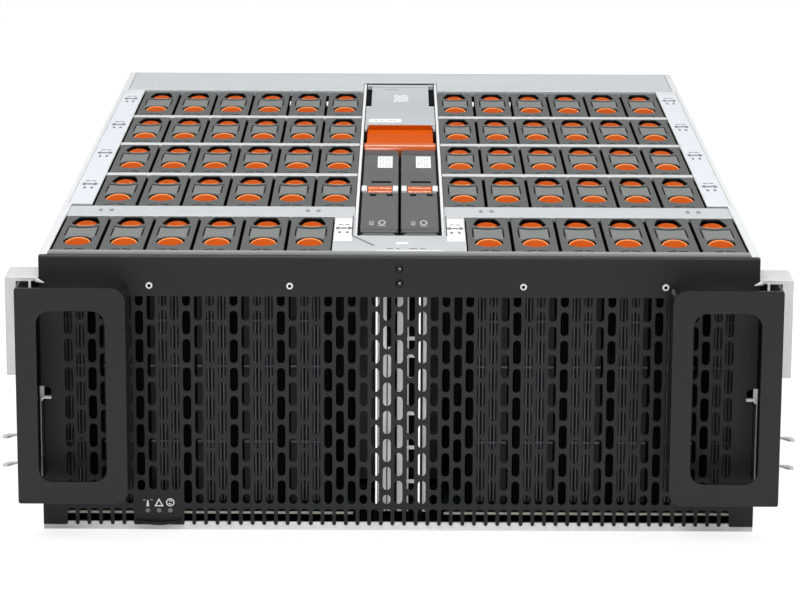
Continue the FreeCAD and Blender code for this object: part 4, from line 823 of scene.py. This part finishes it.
def flange_labels():
    """Long white strips with plain marks on the side flanges and on the arms of the surround."""
    strips, arms, marks, folds = [], [], [], bmesh.new()
    inner = INNER_EDGE + DRIVE_PITCH * (COLUMNS - 1) + CAP_WIDTH + 1.0
    for side in SIDES.values():
        low, high = sorted((side * (inner + 0.8), side * (inner + 14.6)))
        strips.append(plate([rounded((low, -182.0), (high, 246.0), 1.2)], *FILM, lay(FLANGE_TOP - SKIM)))
        for row in range(1, ROWS):
            y = bay_corner(row, 1, 0)[1] + CAP_DEPTH * 0.62
            marks.append(repeated(label_marks((low + high) / 2, y), [(0, 0, FLANGE_TOP + SKIM)]))
        low, high = sorted((side * (HALF - 3.1), side * (HALF - 2.7)))
        block(folds, (low, -186.0, FLANGE_TOP - 0.3), (high, 258.0, FLANGE_TOP + 0.03))
    top = box_mm("channel_surround")[1].z
    on_top = lay(top - SKIM)
    arm = (FIRST_ROW_EDGE - 1.0 + INNER_EDGE) / 2
    for x in (-arm, arm):
        arms.append(plate([rounded((x - 5.6, -300.0), (x + 5.6, -232.0), 1.0)], *CARD, on_top))
        marks.append(repeated(label_marks(x, -262.0), [(0, 0, top + 0.06)]))
    for low, high in (((-2.0, -308.0), (5.6, -303.0)), ((-14.0, -327.6), (26.0, -325.8))):
        arms.append(plate([rounded(low, high, 0.6)], *CARD, on_top))
    for x, width in ((-8.0, 4.0), (-2.0, 2.0), (6.0, 5.0), (13.0, 3.0)):
        marks.append(plate([rounded((x, -322.6), (x + width, -320.6), 0.4)], *CARD, on_top))
    for low, high in ((-30.2, -29.3), (29.3, 30.2)):
        marks.append(plate([rounded((low, -284.0), (high, -222.0), 0.2)], *CARD, on_top))
    add_piece("strip_labels", joined(*strips), STRIP_PAPER)
    add_piece("surround_labels", joined(*arms), PAPER)
    add_piece("strip_marks", joined(*marks), INK)
    add_piece("fold_lines", folds, FOLD_GREY)
    seam = [(-30.2, -284.6), (-16.4, -314.0), (-15.2, -312.0), (-29.2, -283.0)]
    add_piece("surround_seam", plate([seam], *CARD, on_top), INK)


def cross_member_stamps():
    """Small stamped arrows and dots near both ends of the cross-members."""
    low, high = box_mm("cross_members")
    y = (low.y + high.y) / 2
    forms = []
    for x in (low.x + 24.0, low.x + 31.0, -60.0, -53.0, 53.0, 60.0, high.x - 31.0, high.x - 24.0):
        arrow = [(x - 1.8, y + 3.0), (x + 1.8, y + 3.0), (x, y + 6.2)]
        for outline in (oval((x, y), (1.6, 1.6), 12), arrow):
            forms.append(plate([outline], *CARD, lay(high.z - SKIM)))
    add_piece("cross_member_stamps", joined(*forms), INK)


# ---------------------------------------------------------------- centre channel
FINGER_LIP = -281.6                # front edge of the cartridges' finger lips


def matrix_cells(corners, height, level):
    """Small upright rectangles from their lower left corners, as in a printed matrix."""
    outlines = [[(x, y), (x + 1.3, y), (x + 1.3, y + height), (x, y + height)] for x, y in corners]
    return joined(*[plate([outline], *FILM, lay(level)) for outline in outlines])


def flank_lines(form, side, left, right, front, back, level):
    """Dark lines along both edges of a cartridge's top, the broader one away from the channel's middle."""
    widths = (0.5, 1.3)[::side]
    block(form, (left + SKIM, front, level - 1.4), (left + widths[0], back, level + SKIM))
    block(form, (right - widths[1], front, level - 1.4), (right - SKIM, back, level + SKIM))


def cartridge_details(name, side):
    """Dark lines, finger lip, rear band and label on top of one cartridge."""
    low, high = box_mm("cartridge_case_" + name)
    lever_low, lever_high = box_mm("lift_lever_" + name)
    left, right, top = low.x, high.x, high.z
    width, on_top, body = right - left, lay(top - SKIM), "cartridge_" + name
    lines, recess = bmesh.new(), lever_high.y + 32.0
    recess_left, recess_right = left + width * 0.27, left + width * 0.8
    block(lines, (recess_left, recess, top - 0.6), (recess_right, recess + 7.0, top + SKIM), 0.2)
    block(lines, (left + 0.4, high.y - 16.4, top - 1.6), (right - 0.4, high.y - 15.2, top + SKIM), 0.1)
    block(lines, (left + 0.5, low.y + 0.5, top - 0.5), (right - 0.5, lever_low.y - 0.5, top + 0.03), 0.1)
    flank_lines(lines, side, left, right, low.y + 0.2, high.y - 0.4, top)
    add_piece(body + "_lines", lines, BLACK_AND_SHADE, body)
    step, root = FINGER_LIP + 3.0, low.y + 7.2
    outline = [(left + 1.2, FINGER_LIP), (right - 1.2, FINGER_LIP), (right - 1.6, step),
               (right - 3.8, root), (left + 3.8, root), (left + 1.6, step)]
    lip = plate([outline], 0.5, 0.15, lay(top + SKIM))
    add_piece(body + "_finger_lip", lip, CARTRIDGE, body)
    band = rounded((left + 1.4, high.y - 15.0), (right - 1.4, high.y - 0.7), 0.6)
    add_piece(body + "_rear_band", plate([band], *FILM, on_top), CARTRIDGE_END, body)
    x, y = left + width * 0.62, high.y - 45.0
    label = rounded((x - 5.2, y - 21.0), (x + 5.2, y + 21.0), 0.6)
    add_piece(body + "_label", plate([label], *CARD, on_top), PAPER, body)
    corners = [(x - 3.9 + column * 2.0, y - 17.0 + row * 5.0) for column in range(4) for row in range(7)
               if (column * 3 + row * 5) % 4]
    cells = matrix_cells(corners, 2.6, top + ON_LABEL)
    add_piece(body + "_label_marks", cells, LABEL_GREY, body)


def lever_details(name, side):
    """Crease, edge lines, two small slots and two plain light marks of a cartridge's lever."""
    low, high = box_mm("lift_lever_" + name)
    left, right = (corner.x for corner in box_mm("cartridge_case_" + name))
    width, top = right - left, high.z
    body, lever = "cartridge_" + name, BODY_OF["lift_lever_" + name]
    lines = bmesh.new()
    block(lines, (left + 2.6, low.y + 10.0, top - 0.5), (right - 2.6, low.y + 10.7, top + SKIM), 0.1)
    flank_lines(lines, side, left, right, low.y + 0.4, high.y - 0.4, top)
    for share in (0.27, 0.7):
        x = left + width * share
        block(lines, (x - 0.8, high.y - 12.0, top - 0.8), (x + 3.8, high.y - 4.0, top + 0.03), 0.3)
    start, end = left + width * 0.27, left + width * 0.75
    block(lines, (start, high.y - 6.6, top - 0.3), (end, high.y - 6.1, top + SKIM))
    add_piece(body + "_lever_lines", lines, BLACK_AND_SHADE, lever)
    marks = []
    for x, radius in ((left + width * 0.32, 1.5), (left + width * 0.58, 2.5)):
        centre = (x, low.y + 31.0)
        outer = oval(centre, (radius, radius * 3.0), 14)
        marks.append([outer, oval(centre, (radius * 0.6, radius * 2.0), 14)])
        bar = centre[1] - radius * 3.0 - 3.4
        marks.append([rounded((x - radius, bar), (x + radius, bar + 2.0), 0.4)])
    forms = [plate(outlines, *CARD, lay(top - SKIM)) for outlines in marks]
    add_piece(body + "_lever_marks", joined(*forms), LAMP_GREY, lever)


def latch_details(name):
    """Two orange rollers on their slide, which are a cartridge's latch, between two bright cheeks."""
    case_low, case_high = box_mm("cartridge_case_" + name)
    node, top = "orange_latch_" + name, case_high.z
    low, high = box_mm(node)
    rollers, cheeks, radius = bmesh.new(), bmesh.new(), 4.6
    for y, crest in ((low.y + 3.6, top + 0.5), (high.y - 3.6, top + 1.4)):
        rod(rollers, (low.x, y, crest - radius), (high.x, y, crest - radius), radius, 24)
    soften_ends(rollers, 0.5, 2)
    block(rollers, (low.x, low.y + 1.0, low.z), (high.x, high.y - 1.0, high.z - 5.0), 0.6)
    add_piece(node + "_rollers", rollers, BAIL_ORANGE, BODY_OF[node], (node,))
    for left, right in ((case_low.x + 0.6, low.x - 0.4), (high.x + 0.4, case_high.x - 0.6)):
        block(cheeks, (left, low.y + 0.5, low.z - 0.1), (right, high.y + 1.5, top + 0.9), 0.5)
    add_piece("cartridge_" + name + "_latch_cheeks", cheeks, BRIGHT_STEEL, "cartridge_" + name)


def bail():
    """Broad bail of the canister: a flat band from its hinge to a thick round grip.

    A strip of the same colour covers the canister's front wall behind the hinge.
    """
    low, high = box_mm("canister_bail")
    hinge_y, hinge_z, radius = high.y - 4.0, CAP_TOP - 7.0, 6.0
    roll_y, roll_z, inset = low.y + radius, CAP_TOP - 6.4, high.x - 1.9
    side_view = [(hinge_y, hinge_z - 2.0), (hinge_y, hinge_z + 2.0), (hinge_y - 12.0, CAP_TOP - 3.0),
                 (roll_y, CAP_TOP - 3.0), (roll_y, CAP_TOP - 7.0), (hinge_y - 12.0, hinge_z - 2.4)]
    sideways = Matrix(((0, 0, 1, -inset), (1, 0, 0, 0), (0, 1, 0, 0), (0, 0, 0, 1)))
    form = plate([side_view], inset * 2, 0.4, sideways)
    rod(form, (-inset, hinge_y, hinge_z), (inset, hinge_y, hinge_z), 4.0, 20)
    rod(form, (low.x, hinge_y, hinge_z), (high.x, hinge_y, hinge_z), 1.5, 16)
    add_piece("canister_bail_band", form, BAND_ORANGE, "canister_bail", ("canister_bail",))
    grip = bmesh.new()
    rod(grip, (low.x, roll_y, roll_z), (high.x, roll_y, roll_z), radius, 40)
    soften_ends(grip, 1.2, 3)
    add_piece("canister_bail_grip", grip, BAIL_ORANGE, "canister_bail")
    cover, half, back = bmesh.new(), inset - 0.6, hinge_y + 5.4
    block(cover, (-half, back - 0.5, CAP_TOP - 6.0), (half, back, CAP_TOP - 0.15), 0.1)
    add_piece("canister_bail_cover", cover, BAND_ORANGE, "canister")


def canister_details():
    """Rear line, side slots, matrix label and strip label on the canister."""
    low, high = box_mm("canister_case")
    top = high.z
    dark = bmesh.new()
    block(dark, (low.x + 6.0, high.y - 14.0, top - 0.5), (high.x - 6.0, high.y - 13.0, top + SKIM), 0.1)
    block(dark, (low.x + 14.0, high.y - 24.0, top - 0.3), (low.x + 24.0, high.y - 22.6, top + SKIM), 0.1)
    for left, right in ((low.x + 0.2, low.x + 4.0), (high.x - 4.0, high.x - 0.2)):
        block(dark, (left, high.y - 86.0, top - 9.0), (right, high.y - 22.0, top - 1.6), 0.2)
    add_piece("canister_lines", dark, BLACK_AND_SHADE, "canister")
    x, y = low.x + 21.5, high.y - 66.0
    corners = [(x + column * 1.6, y - 14.0 + row * 3.6) for column in range(7) for row in range(9)
               if (column * 5 + row * 3) % 7 < 4]
    cells = matrix_cells(corners, 2.9, top - 0.01)
    add_piece("canister_matrix", cells, PAPER, "canister")
    strip = rounded((low.x + 2.6, low.y + 92.0), (low.x + 27.0, low.y + 106.0), 0.6)
    strip_form = plate([strip], *CARD, lay(top - SKIM))
    add_piece("canister_strip_label", strip_form, PAPER, "canister")
    ink = [plate([oval((low.x + offset, low.y + 99.5), (0.8, 1.6), 10)], *FILM, lay(top + ON_LABEL))
           for offset in (8.0, 12.5, 19.0, 22.0)]
    add_piece("canister_strip_marks", joined(*ink), INK, "canister")


def lower_flange(form):
    """Leaves room for the labels on a side wall's flange."""
    crest = [v for v in form.verts if v.co.z > TOP - 0.1]
    bmesh.ops.translate(form, verts=crest, vec=(0.0, 0.0, FLANGE_TOP - TOP))


def ear_details():
    """White folded edge and small pointed tip of each rack ear."""
    form = bmesh.new()
    for side in SIDES.values():
        low, high = sorted((side * 225.2, side * 226.6))
        block(form, (low, FRONT - 0.9, 150.0), (high, FRONT + 1.0, 159.2), 0.3)
        y, root, tip = FRONT - 0.6, side * (HALF + 1.6), side * (HALF - 3.4)
        rod(form, (root, y, 159.4), (tip, y, 157.6), 1.5, 12, 0.3)
    add_piece("ear_edges", form, BRIGHT_STEEL)


# ---------------------------------------------------------------- everything else of the frame
SPECIAL = {"front_panel", "drive_caps", "cap_grips", "status_panel", "status_light_pipes",
           "orange_latch_left", "orange_latch_right", "canister_bail"}
SPECIAL |= {prefix + part for prefix in MOVABLE.values() for part in ("_cap", "_front_grip", "_rear_grip")}
SOFT_EDGE = 0.3
BEVELS = {"pull_handle": 0.95, "lift_lever": 0.5, "cartridge_case": 0.5, "canister_case": 0.6,
          "rear_deck": 0.5, "channel_surround": 0.4, "rack_ear": 0.4, "cross_members": 0.5,
          "row_dividers": 0.5, "side_wall": 0.4, "lower_supply_case": 0.5, "upper_supply_case": 0.5,
          "interface_module_case": 0.5, "ejector_lever": 0.6, "rear_panel": 0.2, "centre_post": 0.2}
# bay partitions are near black as painted shade between the carriers
MATERIALS = {"bay_partitions": BLACK_AND_SHADE, "cartridge_case": CARTRIDGE, "lift_lever": CARTRIDGE,
             "canister_case": CASE_STEEL, "row_dividers": DIVIDER_STEEL, "side_wall": FLANGE_STEEL,
             "base_pan": BRIGHT_STEEL, "pull_handle": HANDLE_BLACK, "channel_wall": BRIGHT_STEEL,
             "rack_ear": EAR_STEEL, "rack_latch": LATCH_STEEL}
PLAIN = {"hard_drives", "outer_carrier_drive", "inner_carrier_drive", "baseboards", "board_standoffs",
         "drive_sockets", "bay_partitions"}


def remaining_nodes():
    """Every other CAD node: its own copy with softened edges, or the node itself where it is hidden."""
    for node, obj in frame["nodes"].items():
        if node in SPECIAL:
            continue
        family = node.removesuffix("_left").removesuffix("_right")
        material = MATERIALS.get(family, FINISH[SLOT_OF[node]])
        if node in PLAIN:
            obj.data.materials.clear()
            obj.data.materials.append(material)
        else:
            move = lower_flange if family == "side_wall" else None
            refined(node, BEVELS.get(family, SOFT_EDGE), material, move)


# ---------------------------------------------------------------- stage
def add_stage():
    """White floor that keeps the shelf's soft shadow, and a white room."""
    mesh = bpy.data.meshes.new("floor")
    form = bmesh.new()
    bmesh.ops.create_grid(form, x_segments=1, y_segments=1, size=8.0)
    form.to_mesh(mesh)
    form.free()
    floor = bpy.data.objects.new("floor", mesh)
    floor.location.z = -0.0005
    bpy.context.scene.collection.objects.link(floor)
    paint = Paint("floor_white")
    paint.set(base_color=(0.85, 0.85, 0.85, 1.0), roughness=0.9)
    seen = paint.node("ShaderNodeLightPath", {}, {}, "Is Camera Ray")
    glow = paint.node("ShaderNodeEmission", {}, {"Color": (1, 1, 1, 1), "Strength": 1.12})
    mix = paint.node("ShaderNodeMixShader", {}, {0: seen * 0.72, 1: paint.shader.outputs[0], 2: glow})
    output = next(n for n in paint.tree.nodes if n.type == "OUTPUT_MATERIAL")
    paint.link(output.inputs[0], mix)
    mesh.materials.append(paint.owner)
    room = Paint("studio", "worlds", "BACKGROUND")
    seen = room.node("ShaderNodeLightPath", {}, {}, "Is Camera Ray")
    level = room.node("ShaderNodeMapRange", {}, {"Value": seen, "To Min": 0.42, "To Max": 1.0})
    room.set(color=(1, 1, 1, 1), strength=level)
    bpy.context.scene.world = room.owner


add_camera()
add_stage()
add_softbox("key", (-0.9, -1.6, 2.2), (0, 0, 0.1), (1.8, 1.2), 34)
add_softbox("fill", (1.6, -1.4, 1.6), (0, 0, 0.1), (1.6, 1.6), 20)
add_softbox("top", (0.0, 0.6, 2.4), (0, 0, 0.1), (2.4, 1.2), 14)
add_softbox("strip", (0.0, 0.2, 2.2), (0, 0.06, 0.17), (2.4, 0.14), 22)
bpy.context.scene.view_settings.view_transform = "Standard"

front_panel()
ring_screws()
status_lip()
edge_trims()
status_marks()
carrier_fronts()
post_details()
carriers()
flange_labels()
cross_member_stamps()
for label, side in SIDES.items():
    cartridge_details(label, side)
    lever_details(label, side)
    latch_details(label)
bail()
canister_details()
ear_details()
remaining_nodes()
